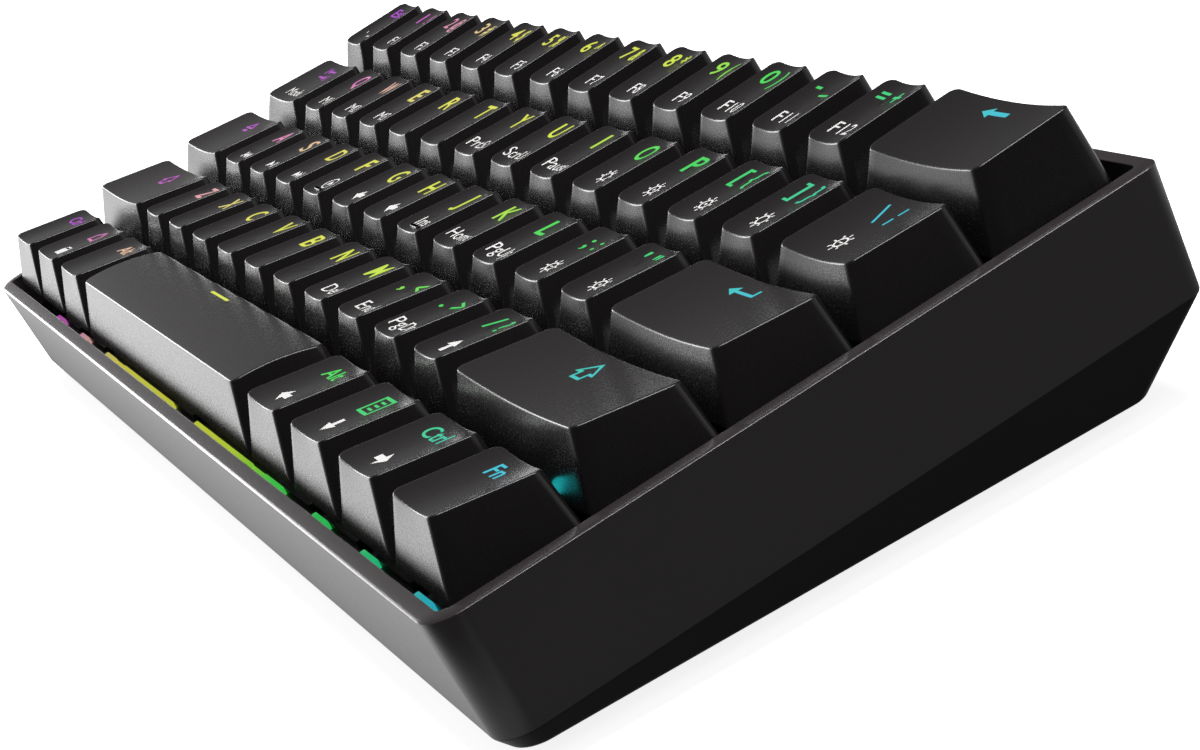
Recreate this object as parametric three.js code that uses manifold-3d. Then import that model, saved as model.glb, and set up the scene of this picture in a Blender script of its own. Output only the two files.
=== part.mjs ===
// Small mechanical keyboard with sixty-one keys in a one-piece tray case.
// Millimetres, Z up. The feet stand on Z = 0, and the key rows run along X with the number row at the back.
// Keys, plate, board and tray are drawn in the deck frame, which stands tilted up towards the back.
// In the deck frame Y = 0 is the front of the key field, and Z = 0 is the bottom edge of the resting caps.

import * as THREE from 'three';
import { mergeVertices } from 'three/addons/utils/BufferGeometryUtils.js';
import Module from 'manifold-3d';

const wasm = await Module();
wasm.setup();

// Key field
const PITCH = 19.05;
const FIELD_UNITS = 15;
const ROW_COUNT = 5;
const FIELD_WIDTH = PITCH * FIELD_UNITS;
const FIELD_DEPTH = PITCH * ROW_COUNT;
const FIELD_LEFT = -FIELD_WIDTH / 2;

// Attitude of the deck over the table
const TILT = THREE.MathUtils.degToRad(3.9);
const FOOT_STAND = 1.8;

// Clearances
const SEAT_GAP = 0.3;
const SLIDE_GAP = 0.3;
const EDGE_GAP = 0.4;

// Key caps
const CAP_MARGIN = 0.5;
const CAP_WALL = 1.3;
const CAP_ROOF = 1.2;
const CAP_TOP_INSET = 3.95;
const CAP_BASE_CHAMFER = 0.8;
const CAP_TOP_CHAMFER = 0.9;
const CAP_OVERSHOOT = 1.15;
const DISH_DEPTH = 0.55;
const DISH_SLOPE = 0.0115;
const DISH_STEPS = 6;
const DISH_SPREAD = 1.5;
const CROWN_HEIGHT = 0.7;
const WEB_DEPTH = 5;
const WEB_HEIGHT = 1.2;
const WEB_GRIP = 0.8;

// Sculpt of each row: how far the top's front and rear edges lie inside the key's cell, and their heights
const SCULPT = {
  number: { frontInset: 4.5, frontZ: 9.7, rearInset: 0.1, rearZ: 10.2 },
  upper: { frontInset: 4.35, frontZ: 8.3, rearInset: 0.2, rearZ: 7.9 },
  home: { frontInset: 4.25, frontZ: 8.3, rearInset: 0.4, rearZ: 7 },
  lower: { frontInset: 4.15, frontZ: 9.4, rearInset: 0.65, rearZ: 7 },
  bottom: { frontInset: 3.95, frontZ: 9.5, rearInset: 0.9, rearZ: 7.1 },
};

// Rows from the back, each with its keys from the left: a name, then the width in pitches of each cap
const ROWS = [
  {
    sculpt: SCULPT.number,
    keys: [
      ['esc', 1], ['1_2', 1, 1], ['3_4', 1, 1], ['5_6', 1, 1], ['7', 1], ['8', 1], ['9', 1], ['0', 1],
      ['minus', 1], ['equals', 1], ['backspace', 2],
    ],
  },
  {
    sculpt: SCULPT.upper,
    keys: [
      ['tab', 1.5], ['q_w', 1, 1], ['e_r', 1, 1], ['t_y', 1, 1], ['u', 1], ['i', 1], ['o', 1], ['p', 1],
      ['left_bracket', 1], ['right_bracket', 1], ['backslash', 1.5],
    ],
  },
  {
    sculpt: SCULPT.home,
    keys: [
      ['caps_lock', 1.75], ['a_s', 1, 1], ['d_f', 1, 1], ['g_h', 1, 1], ['j', 1], ['k', 1], ['l', 1],
      ['semicolon', 1], ['quote', 1], ['enter', 2.25],
    ],
  },
  {
    sculpt: SCULPT.lower,
    keys: [
      ['left_shift', 2.25], ['z_x', 1, 1], ['c_v', 1, 1], ['b_n', 1, 1], ['m', 1], ['comma', 1],
      ['period', 1], ['slash', 1], ['right_shift', 2.75],
    ],
  },
  {
    sculpt: SCULPT.bottom,
    keys: [
      ['left_control', 1.25], ['left_super', 1.25], ['left_alt', 1.25], ['space', 6.25],
      ['right_alt', 1.25], ['menu', 1.25], ['right_control', 1.25], ['function', 1.25],
    ],
  },
];

// Switches
const PLATE_BELOW_CAP = 5.7;
const PLATE_THICKNESS = 1.5;
const BOARD_BELOW_PLATE_TOP = 5;
const BOARD_THICKNESS = 1.6;
const CUTOUT = 14;
const HOUSING_LOWER = 13.4;
const FLANGE = 15.6;
const FLANGE_THICKNESS = 0.9;
const SHOULDER = 14.4;
const HOUSING_TOP_WIDTH = 10.2;
const HOUSING_TOP_DEPTH = 10.6;
const HOUSING_TOP_Z = 0.4;
const SLIDER_WIDTH = 6.4;
const SLIDER_DEPTH = 4.4;
const SLIDER_BOTTOM_Z = -4.4;
const SLIDER_ROOT = 0.5;
const WELL_BOTTOM_Z = -9.4;
const RAIL_DEPTH = 3;
const RAIL_OFFSET = 6;
const RAIL_SINK = 0.2;
const RIB_WIDTH = 8;
const RIB_GRIP = 1;
const RIB_UNITS = [3.125, 10.625];

// Stabilisers beside the switches of the wide keys
const STAB_MIN_UNITS = 2;
const STAB_LONG_UNITS = 6;
const STAB_OFFSET = 11.94;
const STAB_OFFSET_LONG = 50;
const STAB_WIDTH = 6.6;
const STAB_DEPTH = 11;
const STAB_TOP_Z = -1.8;
const STAB_BOTTOM_Z = -10;
const STAB_SLIDER_WIDTH = 3;
const STAB_SLIDER_DEPTH = 4;

// Case tray
const RIM_Z = 1;
const RIM_OUT_SIDE = 3.6;
const RIM_OUT_FRONT = 3.5;
const RIM_OUT_REAR = 4.05;
const RIM_THICKNESS_SIDE = 2.6;
const RIM_THICKNESS = 2.1;
const CREASE_Z = -16.4;
const WALL_DRAFT = 1;
const KEEL_INSET_SIDE = 1.3;
const KEEL_INSET_FRONT = 1.9;
const KEEL_INSET_REAR = 11.6;
const KEEL_DROP = 18.93;
const CORNER_RADIUS = 5;
const REAR_CORNER_RADIUS = 2.3;
const KEEL_CORNER_RADIUS = 3.6;
const KEEL_REAR_CORNER_RADIUS = 2.5;
const CORNER_STEPS = 4;
const INNER_CORNER_RADIUS = 1.8;
const INNER_REAR_CORNER_RADIUS = 0.9;
const INNER_CORNER_STEPS = 2;
const FLOOR_THICKNESS = 2.4;
const BAY_INSET_SIDE = 1.9;
const BAY_INSET = 1.3;

// Screws and their posts
const SCREW_HEAD_RADIUS = 1.9;
const SCREW_HEAD_HEIGHT = 0.9;
const SCREW_RADIUS = 1;
const SCREW_LENGTH = 12;
const SCREW_SIDES = 12;
const DRIVE_WIDTH = 0.6;
const DRIVE_LENGTH = 2.4;
const DRIVE_DEPTH = 0.5;
const HOLE_RADIUS = 1.3;
const POST_RADIUS = 3;
const POST_BORE_DEPTH = 5.2;
const POST_ROOT = 1;

// Feet
const FOOT_LENGTH = 220;
const FOOT_WIDTH = 9;
const FOOT_RADIUS = 4.2;
const FOOT_STEPS = 3;
const FOOT_RECESS = 0.9;
const FOOT_CHAMFER = 0.5;
const FOOT_FROM_FRONT = 11;
const FOOT_FROM_REAR = 10;

// Data socket at the back of the board
const SOCKET_WIDTH = 8.94;
const SOCKET_HEIGHT = 3.2;
const SOCKET_RADIUS = 1.3;
const SOCKET_SHELL = 0.3;
const SOCKET_STEPS = 2;
const SOCKET_LENGTH = 7.4;
const SOCKET_MOUTH_DEPTH = 5.6;
const SOCKET_BELOW_BOARD_TOP = 1.6;
const TONGUE_WIDTH = 6.7;
const TONGUE_THICKNESS = 0.7;
const TONGUE_SET_BACK = 0.8;
const PORT_WIDTH = 12.6;
const PORT_HEIGHT = 6.2;
const PORT_RADIUS = 1.6;
const PORT_STEPS = 3;

// Chips under the board
const CHIP_SIZE = 9;
const CHIP_THICKNESS = 1;
const CHIP_SINK = 0.3;
const CHIP_SPACING = 34;
const CHIP_COLUMNS = [-1, 0, 1];

// Cutters run past the faces that they cut
const OVERCUT = 2;

// Heights that follow from the values above
const PLATE_TOP_Z = -PLATE_BELOW_CAP;
const PLATE_BOTTOM_Z = PLATE_TOP_Z - PLATE_THICKNESS;
const LEDGE_Z = PLATE_BOTTOM_Z - SEAT_GAP;
const BOARD_TOP_Z = PLATE_TOP_Z - BOARD_BELOW_PLATE_TOP;
const BOARD_BOTTOM_Z = BOARD_TOP_Z - BOARD_THICKNESS;
const POST_TOP_Z = BOARD_BOTTOM_Z - SEAT_GAP;
const FLANGE_BOTTOM_Z = PLATE_TOP_Z + SEAT_GAP;
const FLANGE_TOP_Z = FLANGE_BOTTOM_Z + FLANGE_THICKNESS;
const HOUSING_BOTTOM_Z = BOARD_TOP_Z + SEAT_GAP;
const SOCKET_Z = BOARD_TOP_Z - SOCKET_BELOW_BOARD_TOP;
const SOCKET_X = FIELD_LEFT + PITCH;

// Outlines that follow from the values above
const FIELD = { left: FIELD_LEFT, right: -FIELD_LEFT, front: 0, rear: FIELD_DEPTH };
const RIM = grow(FIELD, RIM_OUT_SIDE, RIM_OUT_FRONT, RIM_OUT_REAR);
const CREASE = grow(RIM, -WALL_DRAFT, -WALL_DRAFT, -WALL_DRAFT);
const KEEL = grow(CREASE, -KEEL_INSET_SIDE, -KEEL_INSET_FRONT, -KEEL_INSET_REAR);
const OPENING = grow(RIM, -RIM_THICKNESS_SIDE, -RIM_THICKNESS, -RIM_THICKNESS);
const BAY = grow(OPENING, -BAY_INSET_SIDE, -BAY_INSET, -BAY_INSET);
const PLATE = grow(OPENING, -EDGE_GAP, -EDGE_GAP, -EDGE_GAP);
const BOARD = grow(BAY, -EDGE_GAP, -EDGE_GAP, -EDGE_GAP);

// Place of the deck: the keel lies level above the table, and the case is centred on the origin
const COS = Math.cos(TILT);
const SIN = Math.sin(TILT);
const FRONTMOST = RIM.front * COS - RIM_Z * SIN;
const REARMOST = CREASE.rear * COS - CREASE_Z * SIN;
const DECK_Y = -(FRONTMOST + REARMOST) / 2;
const DECK_Z = FOOT_STAND + KEEL_DROP * COS;

// Colours
const CASE_BLACK = 0x232122;
const CAP_BLACK = 0x3a3738;
const STEEL_BLACK = 0x1c1c1e;
const HOUSING_BLACK = 0x1a1a1a;
const BOARD_BLACK = 0x14201a;
const RUBBER_BLACK = 0x151515;
const STEEL_GREY = 0x8d8f92;

// Outlines and heights
function grow(outline, side, front, rear) {
  return {
    left: outline.left - side,
    right: outline.right + side,
    front: outline.front - front,
    rear: outline.rear + rear,
  };
}

function around(x, y, width, depth) {
  return { left: x - width / 2, right: x + width / 2, front: y - depth / 2, rear: y + depth / 2 };
}

function mix(low, high, share) {
  const between = (key) => low[key] + (high[key] - low[key]) * share;
  return { left: between('left'), right: between('right'), front: between('front'), rear: between('rear') };
}

function keelZ(y) {
  return -KEEL_DROP - Math.tan(TILT) * y;
}

// Rings of points, anticlockwise from above, at a height that may depend on Y
function squareRing(outline, height) {
  return [
    new THREE.Vector3(outline.left, outline.front, height(outline.front)),
    new THREE.Vector3(outline.right, outline.front, height(outline.front)),
    new THREE.Vector3(outline.right, outline.rear, height(outline.rear)),
    new THREE.Vector3(outline.left, outline.rear, height(outline.rear)),
  ];
}

function roundRing(outline, radius, steps, height, rearRadius = radius) {
  const quarter = Math.PI / 2;
  const corners = [
    [outline.right - radius, outline.front + radius, radius, -quarter],
    [outline.right - rearRadius, outline.rear - rearRadius, rearRadius, 0],
    [outline.left + rearRadius, outline.rear - rearRadius, rearRadius, quarter],
    [outline.left + radius, outline.front + radius, radius, 2 * quarter],
  ];
  const ring = [];
  for (const [x, y, bend, start] of corners) {
    for (let i = 0; i <= steps; i += 1) {
      const angle = start + (quarter * i) / steps;
      const pointY = y + bend * Math.sin(angle);
      ring.push(new THREE.Vector3(x + bend * Math.cos(angle), pointY, height(pointY)));
    }
  }
  return ring;
}

// Closed skin over a stack of convex rings with equal counts of points
function loft(rings) {
  const count = rings[0].length;
  const top = (rings.length - 1) * count;
  const indices = [];
  for (let base = 0; base < top; base += count) {
    for (let i = 0; i < count; i += 1) {
      const a = base + i;
      const b = base + ((i + 1) % count);
      indices.push(a, b, b + count, a, b + count, a + count);
    }
  }
  for (let i = 1; i + 1 < count; i += 1) {
    indices.push(0, i + 1, i, top, top + i, top + i + 1);
  }
  const geometry = new THREE.BufferGeometry().setFromPoints(rings.flat());
  geometry.setIndex(indices);
  return solid(geometry);
}

// Solids for joining and cutting
function solid(geometry) {
  const bare = geometry.clone();
  bare.deleteAttribute('normal');
  bare.deleteAttribute('uv');
  const merged = mergeVertices(bare);
  const vertProperties = new Float32Array(merged.attributes.position.array);
  const triVerts = new Uint32Array(merged.index.array);
  return new wasm.Manifold(new wasm.Mesh({ numProp: 3, vertProperties, triVerts }));
}

function block(outline, bottom, top) {
  return loft([squareRing(outline, () => bottom), squareRing(outline, () => top)]);
}

// Block with the corners of the case's opening
function openingBlock(outline, bottom, top) {
  const rings = [bottom, top].map((z) => {
    return roundRing(outline, INNER_CORNER_RADIUS, INNER_CORNER_STEPS, () => z, INNER_REAR_CORNER_RADIUS);
  });
  return loft(rings);
}

function cylinder(x, y, radius, bottom, top) {
  const geometry = new THREE.CylinderGeometry(radius, radius, top - bottom, SCREW_SIDES);
  geometry.rotateX(Math.PI / 2);
  geometry.translate(x, y, (bottom + top) / 2);
  return solid(geometry);
}

function alongX(points, left, right) {
  const shape = new THREE.Shape(points.map(([y, z]) => new THREE.Vector2(y, z)));
  const geometry = new THREE.ExtrudeGeometry(shape, { depth: right - left, bevelEnabled: false });
  geometry.rotateX(Math.PI / 2);
  geometry.rotateZ(Math.PI / 2);
  geometry.translate(left, 0, 0);
  return solid(geometry);
}

function alongY(x, z, width, height, radius, steps, front, rear) {
  const ring = roundRing(around(x, z, width, height), radius, steps, () => 0);
  const shape = new THREE.Shape(ring);
  const geometry = new THREE.ExtrudeGeometry(shape, { depth: rear - front, bevelEnabled: false });
  geometry.rotateX(Math.PI / 2);
  geometry.translate(0, rear, 0);
  return solid(geometry);
}

function join(solids) {
  return solids.reduce((whole, piece) => whole.add(piece));
}

function cut(body, cutters) {
  return cutters.reduce((rest, cutter) => rest.subtract(cutter), body);
}

// Caps with their cells, worked out once from the rows
function layOutCaps() {
  const caps = [];
  ROWS.forEach((row, index) => {
    const front = (ROW_COUNT - 1 - index) * PITCH;
    let left = FIELD_LEFT;
    for (const [name, ...widths] of row.keys) {
      for (const units of widths) {
        const right = left + units * PITCH;
        const cell = { left, right, front, rear: front + PITCH };
        const centre = { x: (left + right) / 2, y: front + PITCH / 2 };
        caps.push({ name, index, units, cell, sculpt: row.sculpt, ...centre });
        left = right;
      }
    }
  });
  return caps;
}

const CAPS = layOutCaps();

function stabiliserPlaces(cap) {
  if (cap.units < STAB_MIN_UNITS) return [];
  const offset = cap.units > STAB_LONG_UNITS ? STAB_OFFSET_LONG : STAB_OFFSET;
  return [cap.x - offset, cap.x + offset];
}

// Screws stand midway between two neighbouring switches beside wide keys
function screwPlaces() {
  const neighbours = [['tab', 'q_w'], ['right_bracket', 'backslash'], ['left_super', 'left_alt'],
    ['menu', 'right_control']];
  return neighbours.map(([first, second]) => {
    const a = CAPS.find((cap) => cap.name === first);
    const b = CAPS.find((cap) => cap.name === second);
    return { x: (a.x + b.x) / 2, y: a.y };
  });
}

const SCREWS = screwPlaces();

// Upper surface of a cap along its depth, before the dish
function topZ(cap, y) {
  const { frontInset, frontZ, rearInset, rearZ } = cap.sculpt;
  const share = (y - cap.cell.front - frontInset) / (PITCH - frontInset - rearInset);
  return frontZ + (rearZ - frontZ) * share;
}

// The dish runs front to back: the part of the cap above a shallow parabola is cut away
function dishCutter(cap, top, depth) {
  const half = (top.right - top.left) / 2;
  const ring = (y) => {
    const points = [];
    for (let i = DISH_STEPS; i >= 0; i -= 1) {
      const share = DISH_SPREAD * ((2 * i) / DISH_STEPS - 1);
      const z = topZ(cap, y) + depth * (share * share - 1);
      points.push(new THREE.Vector3(cap.x + half * share, y, z));
    }
    points.push(new THREE.Vector3(cap.x - half * DISH_SPREAD, y, topZ(cap, y) + 2 * OVERCUT));
    points.push(new THREE.Vector3(cap.x + half * DISH_SPREAD, y, topZ(cap, y) + 2 * OVERCUT));
    return points;
  };
  return loft([ring(cap.cell.front), ring(cap.cell.rear)]);
}

// The space bar's crown runs side to side: the part of the cap under a shallow arch is kept
function crownKeeper(cap, top) {
  const half = (top.rear - top.front) / 2;
  const middle = (top.rear + top.front) / 2;
  const points = [[middle + half * DISH_SPREAD, -OVERCUT], [middle - half * DISH_SPREAD, -OVERCUT]];
  for (let i = 0; i <= DISH_STEPS; i += 1) {
    const share = DISH_SPREAD * ((2 * i) / DISH_STEPS - 1);
    const y = middle + half * share;
    points.push([y, topZ(cap, y) + CROWN_HEIGHT * (1 - share * share)]);
  }
  return alongX(points.reverse(), cap.cell.left, cap.cell.right);
}

// Hollow cap with its slider, which hangs from the roof into the switch
function keyBody(cap) {
  const base = grow(cap.cell, -CAP_MARGIN, -CAP_MARGIN, -CAP_MARGIN);
  const top = {
    left: cap.cell.left + CAP_TOP_INSET,
    right: cap.cell.right - CAP_TOP_INSET,
    front: cap.cell.front + cap.sculpt.frontInset,
    rear: cap.cell.rear - cap.sculpt.rearInset,
  };
  const lowRing = roundRing(base, CAP_BASE_CHAMFER, 1, () => 0);
  const highRing = roundRing(top, CAP_TOP_CHAMFER, 1, (y) => topZ(cap, y));
  const overRing = lowRing.map((point, i) => point.clone().lerp(highRing[i], CAP_OVERSHOOT));
  const blank = loft([lowRing, overRing]);
  const crowned = cap.units > STAB_LONG_UNITS;
  const dish = crowned ? 0 : DISH_DEPTH + DISH_SLOPE * (top.right - top.left);
  const outer = crowned
    ? blank.intersect(crownKeeper(cap, top))
    : blank.subtract(dishCutter(cap, top, dish));

  const { frontZ, rearZ } = cap.sculpt;
  const lowest = Math.min(frontZ, rearZ);
  const ceiling = lowest - dish - CAP_ROOF;
  const mouth = grow(base, -CAP_WALL, -CAP_WALL, -CAP_WALL);
  const shell = {
    ...mix(base, top, ceiling / lowest),
    front: mix(base, top, ceiling / frontZ).front,
    rear: mix(base, top, ceiling / rearZ).rear,
  };
  const inner = grow(shell, -CAP_WALL, -CAP_WALL, -CAP_WALL);
  const hollow = loft([
    squareRing(mouth, () => -OVERCUT),
    squareRing(mouth, () => 0),
    squareRing(inner, () => ceiling),
  ]);
  const sliders = [
    around(cap.x, cap.y, SLIDER_WIDTH, SLIDER_DEPTH),
    ...stabiliserPlaces(cap).map((x) => around(x, cap.y, STAB_SLIDER_WIDTH, STAB_SLIDER_DEPTH)),
  ].map((outline) => block(outline, SLIDER_BOTTOM_Z, ceiling + SLIDER_ROOT));
  return join([outer.subtract(hollow), ...sliders]);
}

// Low web between the skirts of two caps that move together
function pairWeb(left, right) {
  const x = left.cell.right;
  const width = 2 * (CAP_MARGIN + WEB_GRIP);
  return block(around(x, (left.y + right.y) / 2, width, WEB_DEPTH), 0, WEB_HEIGHT);
}

function keySolid(caps) {
  const webs = caps.slice(1).map((cap, i) => pairWeb(caps[i], cap));
  return join([...caps.map(keyBody), ...webs]);
}

// Switch housing: a lower body through the plate, a flange on it and a tapered upper body
function housingBody(cap) {
  const square = (size) => around(cap.x, cap.y, size, size);
  return loft([
    squareRing(square(HOUSING_LOWER), () => HOUSING_BOTTOM_Z),
    squareRing(square(HOUSING_LOWER), () => FLANGE_BOTTOM_Z),
    squareRing(square(FLANGE), () => FLANGE_BOTTOM_Z),
    squareRing(square(FLANGE), () => FLANGE_TOP_Z),
    squareRing(square(SHOULDER), () => FLANGE_TOP_Z),
    squareRing(around(cap.x, cap.y, HOUSING_TOP_WIDTH, HOUSING_TOP_DEPTH), () => HOUSING_TOP_Z),
  ]);
}

function well(x, y, width, depth, top) {
  const outline = around(x, y, width + 2 * SLIDE_GAP, depth + 2 * SLIDE_GAP);
  return block(outline, WELL_BOTTOM_Z, top + OVERCUT);
}

// All housings, held in line by a thin rail along each row and ribs from row to row
function switchHousings() {
  const bodies = [];
  const wells = [];
  const railBottom = FLANGE_BOTTOM_Z + RAIL_SINK;
  const railTop = FLANGE_TOP_Z - RAIL_SINK;
  for (const cap of CAPS) {
    bodies.push(housingBody(cap));
    wells.push(well(cap.x, cap.y, SLIDER_WIDTH, SLIDER_DEPTH, HOUSING_TOP_Z));
    for (const x of stabiliserPlaces(cap)) {
      bodies.push(block(around(x, cap.y, STAB_WIDTH, STAB_DEPTH), STAB_BOTTOM_Z, STAB_TOP_Z));
      wells.push(well(x, cap.y, STAB_SLIDER_WIDTH, STAB_SLIDER_DEPTH, STAB_TOP_Z));
    }
  }
  ROWS.forEach((row, index) => {
    const caps = CAPS.filter((cap) => cap.index === index);
    const places = caps.flatMap((cap) => [cap.x, ...stabiliserPlaces(cap)]);
    const railY = caps[0].y + RAIL_OFFSET;
    const rail = {
      left: Math.min(...places),
      right: Math.max(...places),
      front: railY - RAIL_DEPTH / 2,
      rear: railY + RAIL_DEPTH / 2,
    };
    bodies.push(block(rail, railBottom, railTop));
    if (index === 0) return;
    for (const units of RIB_UNITS) {
      const ribX = FIELD_LEFT + units * PITCH;
      const rib = around(ribX, caps[0].cell.rear, RIB_WIDTH, PITCH - FLANGE + 2 * RIB_GRIP);
      bodies.push(block(rib, railBottom, railTop));
    }
  });
  return cut(join(bodies), wells);
}

// Steel plate with a cut-out for each switch and stabiliser
function switchPlate() {
  const stabWidth = STAB_WIDTH + 2 * SEAT_GAP;
  const stabDepth = STAB_DEPTH + 2 * SEAT_GAP;
  const outlines = CAPS.flatMap((cap) => [
    around(cap.x, cap.y, CUTOUT, CUTOUT),
    ...stabiliserPlaces(cap).map((x) => around(x, cap.y, stabWidth, stabDepth)),
  ]);
  const blank = openingBlock(PLATE, PLATE_BOTTOM_Z, PLATE_TOP_Z);
  const windows = outlines.map((outline) => block(outline, PLATE_BOTTOM_Z - OVERCUT, PLATE_TOP_Z + OVERCUT));
  return cut(blank, [...windows, ...screwHoles(PLATE_BOTTOM_Z, PLATE_TOP_Z)]);
}

function screwHoles(bottom, top) {
  return SCREWS.map(({ x, y }) => cylinder(x, y, HOLE_RADIUS, bottom - OVERCUT, top + OVERCUT));
}

// Circuit board with a notch for the socket, and chips on its underside
function circuitBoard() {
  const board = block(BOARD, BOARD_BOTTOM_Z, BOARD_TOP_Z);
  const chips = CHIP_COLUMNS.map((column) => {
    const outline = around(column * CHIP_SPACING, FIELD_DEPTH / 2, CHIP_SIZE, CHIP_SIZE);
    return block(outline, BOARD_BOTTOM_Z - CHIP_THICKNESS, BOARD_BOTTOM_Z + CHIP_SINK);
  });
  const notch = {
    left: SOCKET_X - SOCKET_WIDTH / 2 - SEAT_GAP,
    right: SOCKET_X + SOCKET_WIDTH / 2 + SEAT_GAP,
    front: BOARD.rear - SEAT_GAP - SOCKET_LENGTH - SEAT_GAP,
    rear: BOARD.rear + OVERCUT,
  };
  const notchCutter = block(notch, BOARD_BOTTOM_Z - OVERCUT, BOARD_TOP_Z + OVERCUT);
  return cut(join([board, ...chips]), [notchCutter, ...screwHoles(BOARD_BOTTOM_Z, BOARD_TOP_Z)]);
}

// Socket: a flat oval shell with a contact tongue in its mouth
function usbSocket() {
  const mouth = BOARD.rear - SEAT_GAP;
  const back = mouth - SOCKET_LENGTH;
  const bottomOfMouth = mouth - SOCKET_MOUTH_DEPTH;
  const oval = (inset, front, rear) => alongY(
    SOCKET_X,
    SOCKET_Z,
    SOCKET_WIDTH - 2 * inset,
    SOCKET_HEIGHT - 2 * inset,
    SOCKET_RADIUS - inset,
    SOCKET_STEPS,
    front,
    rear,
  );
  const shell = oval(0, back, mouth);
  const hollow = oval(SOCKET_SHELL, bottomOfMouth, mouth + OVERCUT);
  const tongue = {
    left: SOCKET_X - TONGUE_WIDTH / 2,
    right: SOCKET_X + TONGUE_WIDTH / 2,
    front: bottomOfMouth - SOCKET_SHELL,
    rear: mouth - TONGUE_SET_BACK,
  };
  const low = SOCKET_Z - TONGUE_THICKNESS / 2;
  return shell.subtract(hollow).add(block(tongue, low, low + TONGUE_THICKNESS));
}

// Screw with a cross drive, its head over the plate and its shank in a post of the tray
function screwSolid({ x, y }) {
  const tip = FLANGE_BOTTOM_Z - SCREW_LENGTH;
  const headTop = FLANGE_BOTTOM_Z + SCREW_HEAD_HEIGHT;
  const profile = [
    [0, tip], [SCREW_RADIUS, tip], [SCREW_RADIUS, FLANGE_BOTTOM_Z], [SCREW_HEAD_RADIUS, FLANGE_BOTTOM_Z],
    [SCREW_HEAD_RADIUS, headTop], [0, headTop],
  ];
  const geometry = new THREE.LatheGeometry(profile.map(([r, z]) => new THREE.Vector2(r, z)), SCREW_SIDES);
  geometry.rotateX(Math.PI / 2);
  geometry.translate(x, y, 0);
  const driveBottom = headTop - DRIVE_DEPTH;
  return cut(solid(geometry), [
    block(around(x, y, DRIVE_WIDTH, DRIVE_LENGTH), driveBottom, headTop + OVERCUT),
    block(around(x, y, DRIVE_LENGTH, DRIVE_WIDTH), driveBottom, headTop + OVERCUT),
  ]);
}

// Feet lie level, so their outlines are in the frame of the table
function tableY(deckY) {
  return deckY * COS - keelZ(deckY) * SIN + DECK_Y;
}

const FOOT_OUTLINES = {
  foot_front: around(0, tableY(KEEL.front) + FOOT_FROM_FRONT, FOOT_LENGTH, FOOT_WIDTH),
  foot_rear: around(0, tableY(KEEL.rear) - FOOT_FROM_REAR, FOOT_LENGTH, FOOT_WIDTH),
};

function footSolid(outline) {
  const tread = grow(outline, -FOOT_CHAMFER, -FOOT_CHAMFER, -FOOT_CHAMFER);
  const top = FOOT_STAND + FOOT_RECESS - SEAT_GAP;
  return loft([
    roundRing(tread, FOOT_RADIUS - FOOT_CHAMFER, FOOT_STEPS, () => 0),
    roundRing(outline, FOOT_RADIUS, FOOT_STEPS, () => FOOT_CHAMFER),
    roundRing(outline, FOOT_RADIUS, FOOT_STEPS, () => top),
  ]);
}

function footRecess(outline) {
  const wide = grow(outline, SEAT_GAP, SEAT_GAP, SEAT_GAP);
  const ring = (z) => roundRing(wide, FOOT_RADIUS + SEAT_GAP, FOOT_STEPS, () => z).map(toDeck);
  return loft([ring(FOOT_STAND - OVERCUT), ring(FOOT_STAND + FOOT_RECESS)]);
}

function toDeck(point) {
  const moved = point.clone().sub(new THREE.Vector3(0, DECK_Y, DECK_Z));
  return moved.applyAxisAngle(new THREE.Vector3(1, 0, 0), -TILT);
}

// Inner side of the sloping rear facet, a wall's thickness above the outer one
function bayProfile() {
  const slope = (keelZ(KEEL.rear) - CREASE_Z) / (KEEL.rear - CREASE.rear);
  const lift = FLOOR_THICKNESS * Math.hypot(1, slope);
  const facetZ = (y) => CREASE_Z + (y - CREASE.rear) * slope + lift;
  const floorZ = (y) => keelZ(y) + FLOOR_THICKNESS / COS;
  const meetY = (floorZ(0) - facetZ(0)) / (slope + Math.tan(TILT));
  return [
    [BAY.front, LEDGE_Z + OVERCUT],
    [BAY.front, floorZ(BAY.front)],
    [meetY, floorZ(meetY)],
    [BAY.rear, facetZ(BAY.rear)],
    [BAY.rear, LEDGE_Z + OVERCUT],
  ];
}

function trayPost({ x, y }) {
  const root = keelZ(y) + FLOOR_THICKNESS / COS - POST_ROOT;
  return cylinder(x, y, POST_RADIUS, root, POST_TOP_Z);
}

// One-piece tray: rim, drafted walls, crease and wedge-shaped lower body around the plate and board
function caseTray() {
  const outer = loft([
    roundRing(KEEL, KEEL_CORNER_RADIUS, CORNER_STEPS, keelZ, KEEL_REAR_CORNER_RADIUS),
    roundRing(CREASE, CORNER_RADIUS, CORNER_STEPS, () => CREASE_Z, REAR_CORNER_RADIUS),
    roundRing(RIM, CORNER_RADIUS, CORNER_STEPS, () => RIM_Z, REAR_CORNER_RADIUS),
  ]);
  const opening = openingBlock(OPENING, LEDGE_Z, RIM_Z + OVERCUT);
  const bay = alongX(bayProfile(), BAY.left, BAY.right);
  const port = alongY(SOCKET_X, SOCKET_Z, PORT_WIDTH, PORT_HEIGHT, PORT_RADIUS, PORT_STEPS,
    BAY.rear - OVERCUT, RIM.rear + OVERCUT);
  const recesses = Object.values(FOOT_OUTLINES).map(footRecess);
  const shell = cut(outer, [opening, bay, port, ...recesses]);
  const boreBottom = POST_TOP_Z - POST_BORE_DEPTH;
  const bores = SCREWS.map(({ x, y }) => cylinder(x, y, HOLE_RADIUS, boreBottom, POST_TOP_Z + OVERCUT));
  return cut(join([shell, ...SCREWS.map(trayPost)]), bores);
}

// Named meshes
function material(color, roughness, metalness = 0) {
  return new THREE.MeshStandardMaterial({ color, roughness, metalness });
}

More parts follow.
